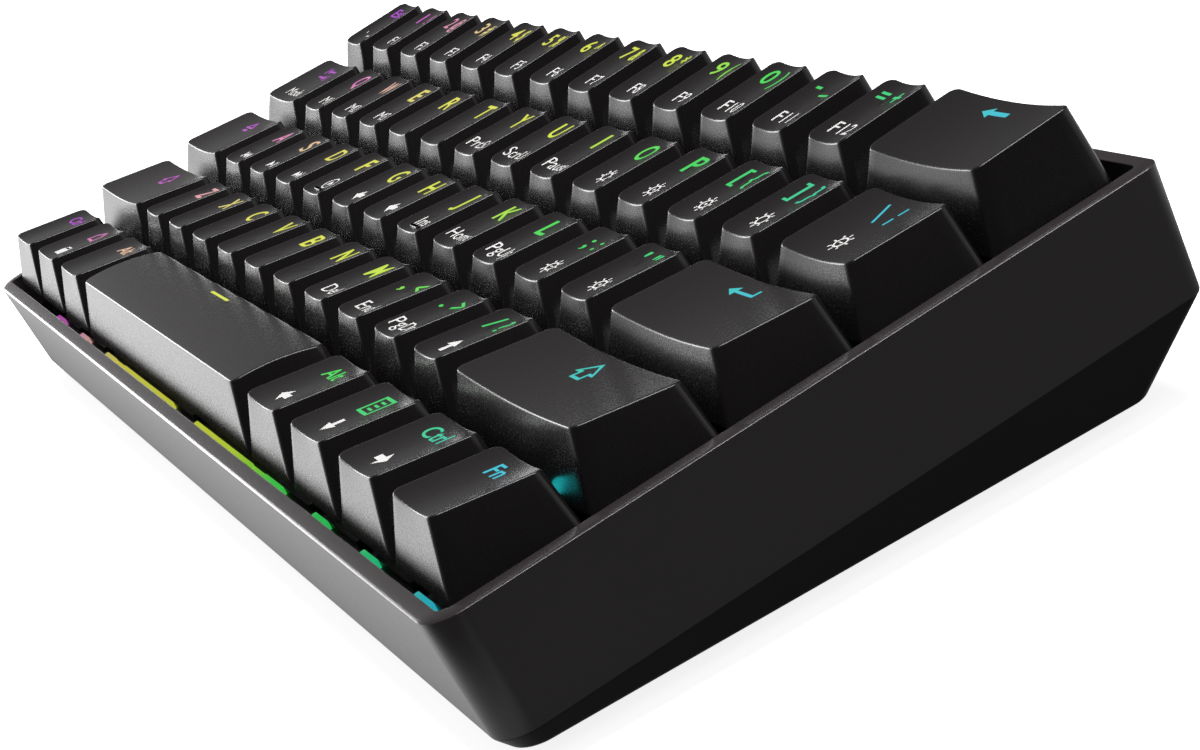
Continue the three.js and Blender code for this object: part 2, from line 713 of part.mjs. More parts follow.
const CASE_PLASTIC = material(CASE_BLACK, 0.45);
const CAP_PLASTIC = material(CAP_BLACK, 0.4);
const HOUSING_PLASTIC = material(HOUSING_BLACK, 0.5);
const COATED_STEEL = material(STEEL_BLACK, 0.5, 0.6);
const BRIGHT_STEEL = material(STEEL_GREY, 0.35, 1);
const BOARD_LAMINATE = material(BOARD_BLACK, 0.6);
const RUBBER = material(RUBBER_BLACK, 0.9);

function mesh(name, body, look) {
  const { numProp, vertProperties, triVerts } = body.getMesh();
  const geometry = new THREE.BufferGeometry();
  geometry.setAttribute('position', new THREE.BufferAttribute(new Float32Array(vertProperties), numProp));
  geometry.setIndex(new THREE.BufferAttribute(new Uint32Array(triVerts), 1));
  geometry.computeVertexNormals();
  const result = new THREE.Mesh(geometry, look);
  result.name = name;
  return result;
}

function buildDeck() {
  const deck = new THREE.Group();
  deck.rotation.x = TILT;
  deck.position.set(0, DECK_Y, DECK_Z);
  deck.add(mesh('case_tray', caseTray(), CASE_PLASTIC));
  deck.add(mesh('switch_plate', switchPlate(), COATED_STEEL));
  deck.add(mesh('switch_housings', switchHousings(), HOUSING_PLASTIC));
  deck.add(mesh('circuit_board', circuitBoard(), BOARD_LAMINATE));
  deck.add(mesh('usb_socket', usbSocket(), BRIGHT_STEEL));
  SCREWS.forEach((place, i) => deck.add(mesh(`screw_${i + 1}`, screwSolid(place), BRIGHT_STEEL)));
  for (const row of ROWS) {
    for (const [name] of row.keys) {
      const caps = CAPS.filter((cap) => cap.name === name);
      deck.add(mesh(`key_${name}`, keySolid(caps), CAP_PLASTIC));
    }
  }
  return deck;
}

const keyboard = new THREE.Group();
keyboard.add(buildDeck());
for (const [name, outline] of Object.entries(FOOT_OUTLINES)) {
  keyboard.add(mesh(name, footSolid(outline), RUBBER));
}

export default keyboard;
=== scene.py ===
"""Visual model of a compact mechanical keyboard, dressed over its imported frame.

Shapes are worked out in millimetres in the deck frame, in which Z = 0 is the bottom edge of the resting caps
and Y = 0 the front of the key field. Deck.to_row turns them into metres in the row frame.
"""
import logging
import math
from collections.abc import Callable, Iterable, Sequence
from dataclasses import dataclass, field
from enum import Enum

import bmesh
import bpy
import numpy as np
from mathutils import Matrix, Vector


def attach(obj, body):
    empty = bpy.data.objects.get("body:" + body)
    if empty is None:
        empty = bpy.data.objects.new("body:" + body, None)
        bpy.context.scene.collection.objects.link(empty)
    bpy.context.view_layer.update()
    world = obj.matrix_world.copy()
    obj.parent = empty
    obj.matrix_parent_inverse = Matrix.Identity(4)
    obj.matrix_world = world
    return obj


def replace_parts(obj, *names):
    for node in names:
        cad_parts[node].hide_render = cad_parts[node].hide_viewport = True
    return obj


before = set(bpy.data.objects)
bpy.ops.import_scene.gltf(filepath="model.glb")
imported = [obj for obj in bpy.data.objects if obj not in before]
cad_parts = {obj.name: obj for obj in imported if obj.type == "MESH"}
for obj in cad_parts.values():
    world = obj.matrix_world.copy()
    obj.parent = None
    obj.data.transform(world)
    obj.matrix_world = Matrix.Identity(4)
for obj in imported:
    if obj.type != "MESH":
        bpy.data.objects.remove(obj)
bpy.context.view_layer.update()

LOG = logging.getLogger("keyboard")
ROOT = "base"
# Millimetres in a metre
METRE = 1000.0
# Width of a square key's cell, and the field of keys in such cells
PITCH = 19.05
ROW_START = -7.5 * PITCH
FIELD_DEPTH = 5 * PITCH
# Shortest edge that a mesh keeps, in metres, and the least length that is divided by
SLIVER = 1e-7
TINY = 1e-6


@dataclass(frozen=True)
class Deck:
    """Tilted frame of keys, plate and case above the table, in millimetres and degrees."""

    tilt: float = 3.9
    foot_stand: float = 1.8
    keel_drop: float = 18.93
    rim_front: tuple[float, float] = (-3.5, 1.0)
    crease_rear: tuple[float, float] = (98.3, -16.4)

    def turn(self) -> np.ndarray:
        """Rotation from the deck to the table."""
        c, s = math.cos(math.radians(self.tilt)), math.sin(math.radians(self.tilt))
        return np.array([[1, 0, 0], [0, c, -s], [0, s, c]])

    def shift(self) -> np.ndarray:
        """Place of the deck's origin above the table, in millimetres."""
        turn = self.turn()
        front = turn[1, 1] * self.rim_front[0] + turn[1, 2] * self.rim_front[1]
        rear = turn[1, 1] * self.crease_rear[0] + turn[1, 2] * self.crease_rear[1]
        return np.array([0, -(front + rear) / 2, self.foot_stand + self.keel_drop * turn[1, 1]])

    def to_row(self, points: np.ndarray) -> np.ndarray:
        """Moves points from the deck to the row frame.

        Args:
            points: deck points in millimetres, with X, Y and Z in the last axis.

        Returns:
            The same points in metres in the row frame.
        """
        return (np.asarray(points, float) @ self.turn().T + self.shift()) / METRE


DECK = Deck()


# Meshes from arrays

def rounded_ring(
    outline: Sequence[float],
    radii: tuple[float, float],
    counts: tuple[int, int, int],
) -> np.ndarray:
    """Points round a rectangle with arcs at its corners, anticlockwise from above.

    Each side is an even run of points between the ends of its two arcs, and an arc of radius r round its
    centre c holds the points c + r (cos a, sin a) over a quarter turn.

    Args:
        outline: left, right, front and rear.
        radii: corner radius at the front and at the rear.
        counts: points along X sides, along Y sides and in each arc.

    Returns:
        Array of points with X and Y.
    """
    left, right, front, rear = outline
    near, far = radii
    along_x, along_y, arc = counts
    u = np.linspace(0, 1, along_x + 2)[1:-1, None]
    v = np.linspace(0, 1, along_y + 2)[1:-1, None]
    angle = np.linspace(0, math.pi / 2, arc)[:, None]

    def corner(x: float, y: float, radius: float, start: float) -> np.ndarray:
        """Arc of points of a corner."""
        return np.hstack([x + radius * np.cos(start + angle), y + radius * np.sin(start + angle)])

    def side(start: np.ndarray, end: np.ndarray, share: np.ndarray) -> np.ndarray:
        """Points between the ends of two arcs."""
        return start + (end - start) * share

    corners = [
        corner(right - near, front + near, near, -math.pi / 2),
        corner(right - far, rear - far, far, 0),
        corner(left + far, rear - far, far, math.pi / 2),
        corner(left + near, front + near, near, math.pi),
    ]
    parts = []
    for i, share in enumerate((v, u, v, u)):
        parts += [corners[i], side(corners[i][-1], corners[(i + 1) % 4][0], share)]
    return np.vstack(parts)


def level(flat: np.ndarray, z: float) -> np.ndarray:
    """Lays a ring at one height."""
    return np.column_stack([flat, np.full(len(flat), z)])


def upright(flat: np.ndarray, y: float) -> np.ndarray:
    """Stands a ring across one Y, with its second column as the height."""
    return np.column_stack([flat[:, 0], np.full(len(flat), y), flat[:, 1]])


def inset(outline: Sequence[float], by: float | Sequence[float]) -> tuple[float, ...]:
    """Outline moved inwards by one distance, or by one for each of its four sides."""
    steps = np.broadcast_to(np.asarray(by, float), 4) * (1, -1, 1, -1)
    return tuple(np.asarray(outline, float) + steps)


def soften(
    stack: Sequence[np.ndarray], reach: Sequence[float], steps: int = 6, most: float = 0.45,
) -> np.ndarray:
    """Rounds the edges of a stack of rings.

    An edge point E between ring A below and ring C above gives way to the curve
    (1 - t)^2 P + 2 t (1 - t) E + t^2 Q, with P and Q at the given reach from E towards A and C.

    Args:
        stack: rings with equal counts of points.
        reach: for each ring, how far its rounding reaches, 0 to keep it, or below 0 for a flat chamfer.
        steps: points along each rounding.
        most: share of the way to a neighbouring ring that a rounding may take.

    Returns:
        Array of rings.
    """
    rings = []
    for i, ring in enumerate(stack):
        if not reach[i]:
            rings.append(ring)
            continue
        ends = []
        for other in (stack[i - 1], stack[i + 1]):
            way = other - ring
            length = np.maximum(np.linalg.norm(way, axis=1, keepdims=True), TINY)
            ends.append(ring + way * np.minimum(abs(reach[i]) / length, most))
        for t in np.linspace(0, 1, steps if reach[i] > 0 else 2):
            rings.append((1 - t) ** 2 * ends[0] + 2 * t * (1 - t) * ring + t * t * ends[1])
    return np.array(rings)


def ring_faces(count: int, length: int) -> list[tuple[int, ...]]:
    """Quads between neighbouring rings of a stack, each ring closed on itself.

    Args:
        count: rings in the stack.
        length: points in a ring.

    Returns:
        Faces as tuples of vertex numbers.
    """
    i = np.arange(length)
    j = (i + 1) % length
    base = np.arange(count - 1)[:, None] * length
    quads = np.stack([base + i, base + j, base + j + length, base + i + length], axis=-1)
    return [tuple(face) for face in quads.reshape(-1, 4).tolist()]


@dataclass
class Skin:
    """Closed surface under construction: points in millimetres and faces."""

    points: np.ndarray = field(default_factory=lambda: np.zeros((0, 3)))
    faces: list[tuple[int, ...]] = field(default_factory=list)

    def add(self, points: np.ndarray, faces: Iterable[tuple[int, ...]]) -> "Skin":
        """Adds a separate surface and returns the skin."""
        start = len(self.points)
        self.points = np.vstack([self.points, points])
        self.faces += [tuple(start + i for i in face) for face in faces]
        return self

    def add_stack(self, stack: np.ndarray) -> "Skin":
        """Adds a skin over a stack of rings, with a flat face at each end, and returns the skin."""
        count, length = stack.shape[:2]
        faces = ring_faces(count, length)
        faces.append(tuple(range(length))[::-1])
        faces.append(tuple(range((count - 1) * length, count * length)))
        return self.add(stack.reshape(-1, 3), faces)

    def mesh(self, name: str, weld: float = 0.002) -> bpy.types.Mesh:
        """Makes the mesh in the row frame, welded, facing out and without slivers.

        Args:
            name: name of the mesh.
            weld: points closer than this many millimetres become one.

        Returns:
            The mesh.
        """
        data = bpy.data.meshes.new(name)
        data.from_pydata(DECK.to_row(self.points).tolist(), [], self.faces)
        work = bmesh.new()
        work.from_mesh(data)
        bmesh.ops.remove_doubles(work, verts=work.verts, dist=weld / METRE)
        bmesh.ops.dissolve_degenerate(work, edges=work.edges, dist=SLIVER)
        bmesh.ops.recalc_face_normals(work, faces=work.faces)
        if work.calc_volume(signed=True) < 0:
            bmesh.ops.reverse_faces(work, faces=work.faces)
        work.to_mesh(data)
        work.free()
        return data


def linked(name: str, data: bpy.types.ID) -> bpy.types.Object:
    """Makes an object of the data and links it to the scene."""
    thing = bpy.data.objects.new(name, data)
    bpy.context.scene.collection.objects.link(thing)
    return thing


def place(
    name: str,
    data: bpy.types.Mesh,
    finish: bpy.types.Material,
    body: str,
    sharp: float = 40.0,
) -> bpy.types.Object:
    """Makes a piece that rides on a body.

    Args:
        name: name of the piece.
        data: its mesh, in the row frame.
        finish: its material.
        body: the body that it rides on.
        sharp: edges that turn by more than this many degrees stay sharp.

    Returns:
        The piece.
    """
    piece = linked(name, data)
    data.polygons.foreach_set("use_smooth", np.ones(len(data.polygons), bool))
    data.set_sharp_from_angle(angle=math.radians(sharp))
    data.materials.clear()
    data.materials.append(finish)
    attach(piece, body)
    return piece


def settled(piece: bpy.types.Object) -> None:
    """Applies a piece's modifiers to its mesh."""
    graph = bpy.context.evaluated_depsgraph_get()
    graph.update()
    data = bpy.data.meshes.new_from_object(piece.evaluated_get(graph))
    old = piece.data
    piece.modifiers.clear()
    piece.data = data
    bpy.data.meshes.remove(old)


# Finishes

def linear(code: str) -> tuple[float, float, float, float]:
    """Linear colour of an sRGB hex code, by the sRGB transfer curve on each channel."""
    channels = [int(code[i:i + 2], 16) / 255 for i in (1, 3, 5)]
    return (*((c / 12.92 if c <= 0.04045 else ((c + 0.055) / 1.055) ** 2.4) for c in channels), 1.0)


def grey(value: float) -> tuple[float, float, float, float]:
    """Linear colour with equal channels."""
    return value, value, value, 1.0


WHITE = grey(1.0)


def add_node(
    tree: bpy.types.NodeTree,
    kind: str,
    settings: dict[str, object] | None = None,
    links: dict[str | int, bpy.types.NodeSocket] | None = None,
    **values: object,
) -> bpy.types.Node:
    """Adds a node with its settings, socket values and links.

    Args:
        tree: the node tree.
        kind: the node's class name.
        settings: attributes of the node.
        links: output sockets for its inputs, by name or number.
        values: input values, with spaces in a name written as underscores.

    Returns:
        The node.
    """
    node = tree.nodes.new(kind)
    for key, value in (settings or {}).items():
        setattr(node, key, value)
    for key, value in values.items():
        node.inputs[key.replace("_", " ")].default_value = value
    for key, socket in (links or {}).items():
        tree.links.new(socket, node.inputs[key])
    return node


def stops(
    tree: bpy.types.NodeTree, value: bpy.types.NodeSocket, table: Sequence[tuple[float, float]],
) -> bpy.types.NodeSocket:
    """Turns a value into another by straight runs between the pairs of a table.

    Args:
        tree: the node tree.
        value: the value that goes in.
        table: pairs of a value and its result, by rising value.

    Returns:
        The socket of the result.
    """
    start, end = table[0][0], table[-1][0]
    most = max(result for _, result in table)
    share = add_node(tree, "ShaderNodeMapRange", links={"Value": value}, From_Min=start, From_Max=end)
    ramp = add_node(tree, "ShaderNodeValToRGB", links={"Fac": share.outputs["Result"]})
    marks = ramp.color_ramp.elements
    while len(marks) < len(table):
        marks.new(0.5)
    for mark, (place_at, result) in zip(marks, table):
        mark.position = (place_at - start) / (end - start)
        mark.color = grey(result / most)
    scaled = add_node(tree, "ShaderNodeMath", {"operation": "MULTIPLY"}, {0: ramp.outputs["Color"]})
    scaled.inputs[1].default_value = most
    return scaled.outputs["Value"]


def empty_material(name: str) -> tuple[bpy.types.Material, bpy.types.NodeTree, bpy.types.Node]:
    """Material with only its output, as the material, its tree and the output."""
    material = bpy.data.materials.new(name)
    material.use_nodes = True
    tree = material.node_tree
    tree.nodes.clear()
    return material, tree, tree.nodes.new("ShaderNodeOutputMaterial")


@dataclass(frozen=True)
class Moulded:
    """Moulded or coated surface with a fine grain, faint cloudy tone and uneven gloss.

    Grain and cloud sizes are in millimetres, and the noise scale is 1 over the size in metres. The gloss runs
    over the spread of the noise, which seldom goes past it.
    """

    name: str
    colour: str
    tone: str
    roughness: tuple[float, float]
    grain: float
    depth: float
    cloud: float = 18.0
    specular: float = 0.5
    ior: float = 1.5
    metallic: float = 0.0
    spread: tuple[float, float] = (0.3, 0.7)

    def make(self) -> bpy.types.Material:
        """Builds the material."""
        material, tree, output = empty_material(self.name)
        place_at = add_node(tree, "ShaderNodeTexCoord").outputs["Object"]
        grain = add_node(
            tree, "ShaderNodeTexNoise", links={"Vector": place_at}, Scale=METRE / self.grain, Detail=2.0,
        )
        cloud = add_node(
            tree, "ShaderNodeTexNoise", links={"Vector": place_at}, Scale=METRE / self.cloud, Detail=3.0,
        )
        tone = add_node(tree, "ShaderNodeMix", {"data_type": "RGBA"}, {0: cloud.outputs["Fac"]})
        tone.inputs[6].default_value = linear(self.colour)
        tone.inputs[7].default_value = linear(self.tone)
        gloss = add_node(
            tree, "ShaderNodeMapRange", links={"Value": grain.outputs["Fac"]},
            From_Min=self.spread[0], From_Max=self.spread[1],
            To_Min=self.roughness[0], To_Max=self.roughness[1],
        )
        bump = add_node(
            tree, "ShaderNodeBump", links={"Height": grain.outputs["Fac"]},
            Strength=1.0, Distance=self.depth / METRE,
        )
        shader = add_node(
            tree, "ShaderNodeBsdfPrincipled",
            links={
                "Base Color": tone.outputs[2],
                "Roughness": gloss.outputs["Result"],
                "Normal": bump.outputs["Normal"],
            },
            Metallic=self.metallic, IOR=self.ior, Specular_IOR_Level=self.specular,
        )
        tree.links.new(shader.outputs["BSDF"], output.inputs["Surface"])
        return material


# Colours of the lighting along the rows, by millimetres from the middle of the case
SPECTRUM = (
    (-134, "#a43bc6"),
    (-117, "#bb4fb4"),
    (-98, "#dc8ab2"),
    (-85, "#deb09a"),
    (-74, "#dccb78"),
    (-62, "#dbd650"),
    (6, "#d3e03c"),
    (25, "#bfe03a"),
    (36, "#8edb3a"),
    (48, "#44d64c"),
    (72, "#2fce58"),
    (98, "#2ccb78"),
    (112, "#27c0a8"),
    (124, "#2cbccc"),
    (134, "#2bbcd2"),
)


@dataclass(frozen=True)
class Lit:
    """Clear polycarbonate lit from inside, in the colours of the spectrum along X.

    The surface gives off the colour by itself, because the lamps are far brighter than what falls on it.
    """

    name: str
    strength: float
    roughness: float = 0.4
    ior: float = 1.58
    body: float = 0.02

    def make(self) -> bpy.types.Material:
        """Builds the material, whose colour ramp runs over X between the ends of the spectrum."""
        material, tree, output = empty_material(self.name)
        place_at = add_node(tree, "ShaderNodeTexCoord").outputs["Object"]
        along = add_node(tree, "ShaderNodeSeparateXYZ", links={"Vector": place_at}).outputs["X"]
        start, end = SPECTRUM[0][0], SPECTRUM[-1][0]
        share = add_node(
            tree, "ShaderNodeMapRange", links={"Value": along}, From_Min=start / METRE, From_Max=end / METRE,
        )
        ramp = add_node(tree, "ShaderNodeValToRGB", links={"Fac": share.outputs["Result"]})
        marks = ramp.color_ramp.elements
        while len(marks) < len(SPECTRUM):
            marks.new(0.5)
        for mark, (x, code) in zip(marks, SPECTRUM):
            mark.position = (x - start) / (end - start)
            mark.color = linear(code)
        shader = add_node(
            tree, "ShaderNodeBsdfPrincipled", links={"Emission Color": ramp.outputs["Color"]},
            Base_Color=grey(self.body), Roughness=self.roughness, IOR=self.ior,
            Emission_Strength=self.strength,
        )
        tree.links.new(shader.outputs["BSDF"], output.inputs["Surface"])
        return material


class Finish(Enum):
    """Finishes of the pieces, each with what its surface gives the eye."""

    # ABS moulded in a fine spark-eroded tool: dark grey tops with a soft sheen at low angles
    CAP = Moulded("matt_moulded_abs", "#191617", "#1d1a1b", (0.25, 0.29), 0.35, 0.0003)
    # The same plastic for the case, in a coarser texture that scatters more of the glancing light
    CASE = Moulded("satin_moulded_abs", "#332e2f", "#373233", (0.21, 0.25), 0.4, 0.0008)
    # The case below its crease: painted shade, a darker copy of the case's colour with a deeper texture that
    # shines less, so the wedge looks darker than the walls
    KEEL = Moulded("dull_moulded_abs", "#171415", "#1b1819", (0.3, 0.36), 0.4, 0.0015, specular=0.2)
    # Glass-filled nylon of the switch housings: smooth, black and dull
    HOUSING = Moulded("black_nylon", "#131313", "#171717", (0.42, 0.5), 0.5, 0.004)
    # Acetal sliders: slick and darker than the caps
    SLIDER = Moulded("dark_acetal", "#2a2526", "#2e292a", (0.32, 0.38), 0.5, 0.002)
    # Powder coat baked on steel: orange-peel dimples about a millimetre apart
    PLATE = Moulded("black_powder_coat", "#101011", "#141415", (0.4, 0.5), 0.9, 0.02)
    # Solder mask on glass-fibre laminate: glossy and very dark green
    BOARD = Moulded("dark_solder_mask", "#0f1a14", "#122018", (0.25, 0.35), 0.8, 0.005)
    # Nickel plate on the socket and zinc plate on the screws
    NICKEL = Moulded("nickel_plate", "#b9b6ae", "#c2bfb8", (0.2, 0.3), 0.3, 0.001, metallic=1.0)
    ZINC = Moulded("zinc_plate", "#a9abae", "#b4b6b9", (0.28, 0.4), 0.3, 0.002, metallic=1.0)
    # Moulded rubber of the feet: matt, with a dusty bloom
    RUBBER = Moulded("matt_rubber", "#141414", "#1b1b1b", (0.75, 0.9), 0.5, 0.01)
    # Liquid-crystal polymer of the socket's tongue
    TONGUE = Moulded("black_polymer", "#121212", "#151515", (0.4, 0.5), 0.4, 0.002)
    # White print of the second legends
    PRINT = Moulded("white_pad_print", "#e9e8e6", "#f2f1ef", (0.45, 0.55), 0.3, 0.001)
    # Clear legends, and the clear bars that carry the light between the switches
    LEGEND = Lit("lit_clear_legend", 1.0)
    GLOW = Lit("lit_clear_bar", 0.72)

    @property
    def material(self) -> bpy.types.Material:
        """The finish's material, made once."""
        return bpy.data.materials.get(self.value.name) or self.value.make()


# Keys

class Sculpt(Enum):
    """Slope of each row's tops: front Y and Z, then rear Y and Z, from the front of the key's cell."""

    NUMBER = (4.5, 9.7, 18.95, 10.2)
    UPPER = (4.35, 8.3, 18.85, 7.9)
    HOME = (4.25, 8.3, 18.65, 7.0)
    LOWER = (4.15, 9.4, 18.4, 7.0)
    BOTTOM = (3.95, 9.5, 18.15, 7.1)


@dataclass
class Key:
    """One cap with its slider and legends."""

    name: str
    body: str
    units: float
    left: float
    front: float
    sculpt: Sculpt
    main: str = ""
    second: str = ""
    margin: float = 0.5
    wall: float = 1.3
    roof: float = 1.2
    top_inset: float = 3.95
    base_radius: float = 1.2
    top_radius: float = 1.5
    edge: float = 0.32
    dish_depth: float = 0.55
    dish_slope: float = 0.0115
    crown: float = 0.7
    long_units: float = 6.0
    wide_units: float = 2.0
    mouth_radius: float = 0.4
    roof_radius: float = 0.6
    mouth_rounding: tuple[float, float] = (0.1, 0.2)
    lip: tuple[float, float] = (0.9, 0.8)
    top_steps: tuple[float, ...] = (1.8, 3.2, 4.8, 6.2)
    slider: tuple[float, float] = (6.4, 4.4)
    side_slider: tuple[float, float] = (3.0, 4.0)
    side_offsets: tuple[float, float] = (11.94, 50.0)
    slider_radius: float = 0.5
    slider_bottom: float = -4.4
    slider_bevel: float = 0.4
    slider_shoulder: tuple[float, float] = (1.4, 1.8)
    post_less: tuple[float, float] = (1.0, 0.4)
    post_gap: float = 0.02

    @property
    def width(self) -> float:
        """Width of the cell."""
        return self.units * PITCH

    @property
    def centre(self) -> tuple[float, float]:
        """Centre of the cell."""
        return self.left + self.width / 2, self.front + PITCH / 2

    @property
    def base(self) -> tuple[float, ...]:
        """Outline of the bottom edge."""
        return inset((self.left, self.left + self.width, self.front, self.front + PITCH), self.margin)

    @property
    def top(self) -> tuple[float, ...]:
        """Outline of the top face."""
        front, _, rear, _ = self.sculpt.value
        right = self.left + self.width
        return self.left + self.top_inset, right - self.top_inset, self.front + front, self.front + rear

    @property
    def crowned(self) -> bool:
        """True for the long bar, whose top is arched and not dished."""
        return self.units > self.long_units

    @property
    def dish(self) -> float:
        """Depth of the dish, a little more on a wide cap."""
        left, right, _, _ = self.top
        return 0.0 if self.crowned else self.dish_depth + self.dish_slope * (right - left)

    @property
    def ceiling(self) -> float:
        """Height of the hollow, under the lowest part of the top."""
        return min(self.sculpt.value[1], self.sculpt.value[3]) - self.dish - self.roof

    @property
    def stabilisers(self) -> tuple[float, ...]:
        """X of the stabilisers' sliders, which only wide caps have."""
        if self.units < self.wide_units:
            return ()
        short, long = self.side_offsets
        offset = long if self.crowned else short
        return self.centre[0] - offset, self.centre[0] + offset

    def surface(self, points: np.ndarray) -> np.ndarray:
        """Height of the top face.

        A dished top is its sloping plane less depth (1 - s^2), with s from -1 to 1 across the cap. An arched
        one is the plane plus crown (1 - t^2), with t from -1 to 1 from front to rear.

        Args:
            points: array with X and Y in its last axis.

        Returns:
            Heights in millimetres.
        """
        left, right, front, rear = self.top
        _, front_z, _, rear_z = self.sculpt.value
        plane = front_z + (rear_z - front_z) * (points[..., 1] - front) / (rear - front)
        if self.crowned:
            t = (2 * points[..., 1] - front - rear) / (rear - front)
            return plane + self.crown * (1 - t * t)
        s = (2 * points[..., 0] - left - right) / (right - left)
        return plane - self.dish * (1 - s * s)

    def counts(self) -> tuple[int, int, int]:
        """Points along the sides and arcs of the cap's rings."""
        return 8 + round(6 * self.units), 9, 7

    def ring(self, outline: Sequence[float], radius: float, z: float | None = None) -> np.ndarray:
        """Ring of the cap at one height, or on the top face where no height is given."""
        flat = rounded_ring(outline, (radius, radius), self.counts())
        return np.column_stack([flat, self.surface(flat)]) if z is None else level(flat, z)

    def cap(self) -> Skin:
        """Skin of the cap, from the middle of its ceiling down the inside, up the walls and over the top.

        Rings shrink by an equal distance from every side, so the last of each run closes on a line. Each wall
        of the hollow follows the slope of the wall outside it.
        """
        _, front_z, _, rear_z = self.sculpt.value
        ceiling = self.ceiling
        share = ceiling / np.array([min(front_z, rear_z), min(front_z, rear_z), front_z, rear_z])
        shell = np.asarray(self.base) + (np.asarray(self.top) - np.asarray(self.base)) * share
        inner = inset(shell, self.wall)
        spine = (inner[3] - inner[2]) / 2
        low = self.ring(self.base, self.base_radius, 0.0)
        high = self.ring(self.top, self.top_radius)
        mouth = self.ring(inset(self.base, self.wall), self.mouth_radius, 0.0)
        roof = self.ring(inner, self.roof_radius, ceiling)
        half = (self.top[3] - self.top[2]) / 2
        first = self.ring(inset(self.top, self.lip[0]), self.top_radius - self.lip[1])
        lower = soften(
            [roof, mouth, low, low + (high - low) * 0.5, high, first],
            [0, *self.mouth_rounding, 0, self.edge, 0],
        )
        tops = [self.ring(inset(self.top, d), max(self.top_radius - d, 0.0)) for d in self.top_steps]
        end = self.ring(inset(self.top, half), 0.0)
        start = self.ring(inset(inner, spine), 0.0, ceiling)
        stack = np.concatenate([[start], lower, tops, [end]])
        skin = Skin()
        return skin.add(stack.reshape(-1, 3), ring_faces(*stack.shape[:2]))

    def stem(self, x: float, width: float, depth: float) -> Skin:
        """Skin of a slider: a block in the switch that narrows to a post under the cap's roof."""
        y = self.centre[1]

        def section(wide: float, deep: float, z: float) -> np.ndarray:
            """Ring of the slider."""
            outline = (x - wide / 2, x + wide / 2, y - deep / 2, y + deep / 2)
            return level(rounded_ring(outline, (self.slider_radius, self.slider_radius), (1, 1, 4)), z)

        bevel = self.slider_bevel
        post = (width - self.post_less[0], depth - self.post_less[1])
        levels = [
            section(width - bevel, depth - bevel, self.slider_bottom),
            section(width, depth, self.slider_bottom + bevel),
            section(width, depth, self.slider_shoulder[0]),
            section(*post, self.slider_shoulder[1]),
            section(*post, self.ceiling - self.post_gap),
        ]
        return Skin().add_stack(np.array(levels))

    def build(self) -> None:
        """Makes the cap, its sliders and its legends."""
        name = f"cap_{self.name}"
        place(name, self.cap().mesh(name), Finish.CAP.material, self.body)
        stem = self.stem(self.centre[0], *self.slider)
        for x in self.stabilisers:
            side = self.stem(x, *self.side_slider)
            stem.add(side.points, side.faces)
        name = f"slider_{self.name}"
        place(name, stem.mesh(name), Finish.SLIDER.material, self.body)
        marks = (("legend", self.main, Finish.LEGEND), ("print", self.second, Finish.PRINT))
        for kind, mark, finish in marks:
            if mark:
                piece = Legend(self, mark, kind == "legend").build(f"{kind}_{self.name}")
                place(piece.name, piece, finish.material, self.body, sharp=30.0)


# Legends

Outline = np.ndarray


def stroke(points: Sequence[tuple[float, float]], width: float) -> list[Outline]:
    """Outlines of a line of even width, one closed strip for each of its straight runs.

    Each run from P to Q becomes the rectangle P - hu - hn, Q + hu - hn, Q + hu + hn, P - hu + hn, with u
    along the run, n across it and h half the width, so that neighbouring runs meet in full corners.

    Args:
        points: corners of the line.
        width: its width.

    Returns:
        Closed outlines.
    """
    outlines = []
    for p, q in zip(np.asarray(points[:-1], float), np.asarray(points[1:], float)):
        u = (q - p) / np.linalg.norm(q - p) * width / 2
        n = np.array([-u[1], u[0]])
        outlines.append(np.array([p - u - n, q + u - n, q + u + n, p - u + n]))
    return outlines


def disc(radius: float, steps: int = 32) -> Outline:
    """Points round a circle."""
    angle = np.linspace(0, 2 * math.pi, steps, endpoint=False)
    return radius * np.column_stack([np.cos(angle), np.sin(angle)])


def box(left: float, right: float, low: float, high: float) -> Outline:
    """Corners of a rectangle."""
    return np.array([(left, low), (right, low), (right, high), (left, high)])


def wedge(tip: float, back: float, half: float) -> Outline:
    """Triangle that points along X from its back to its tip."""
    return np.array([(tip, 0), (back, half), (back, -half)])


def sun(core: Sequence[Outline] = ()) -> list[Outline]:
    """Thin ring with eight short rays, and a mark in its middle."""
    outlines = [disc(1.15), disc(0.82), *core]
    for angle in np.arange(8) * math.pi / 4:
        way = np.array([math.cos(angle), math.sin(angle)])
        outlines += stroke([1.42 * way, 1.7 * way], 0.3)
    return outlines


def arrow(length: float, head: float, half: float, shaft: float, turns: int = 0) -> list[Outline]:
    """Solid arrow that points left, turned anticlockwise by quarter turns.

    Args:
        length: from its tip to its end.
        head: length of the head.
        half: half the width of the head.
        shaft: width of the shaft.
        turns: quarter turns.

    Returns:
        One closed outline.
    """
    tip, end, neck = -length / 2, length / 2, -length / 2 + head
    shape = np.array([
        (tip, 0), (neck, -half), (neck, -shaft / 2), (end, -shaft / 2), (end, shaft / 2), (neck, shaft / 2),
        (neck, half),
    ])
    c, s = round(math.cos(turns * math.pi / 2)), round(math.sin(turns * math.pi / 2))
    return [shape @ np.array([[c, s], [-s, c]])]


def shift_arrow(grow: float) -> Outline:
    """Broad arrow that points up, grown or shrunk by a distance."""
    tip, wing, neck, foot = 1.9 + 1.4 * grow, 2.4 + 2.0 * grow, 1.25 + grow, -1.75 - grow
    return np.array([(0, tip), (wing, -0.35 - grow), (neck, -0.35 - grow), (neck, foot), (-neck, foot),
                     (-neck, -0.35 - grow), (-wing, -0.35 - grow)])


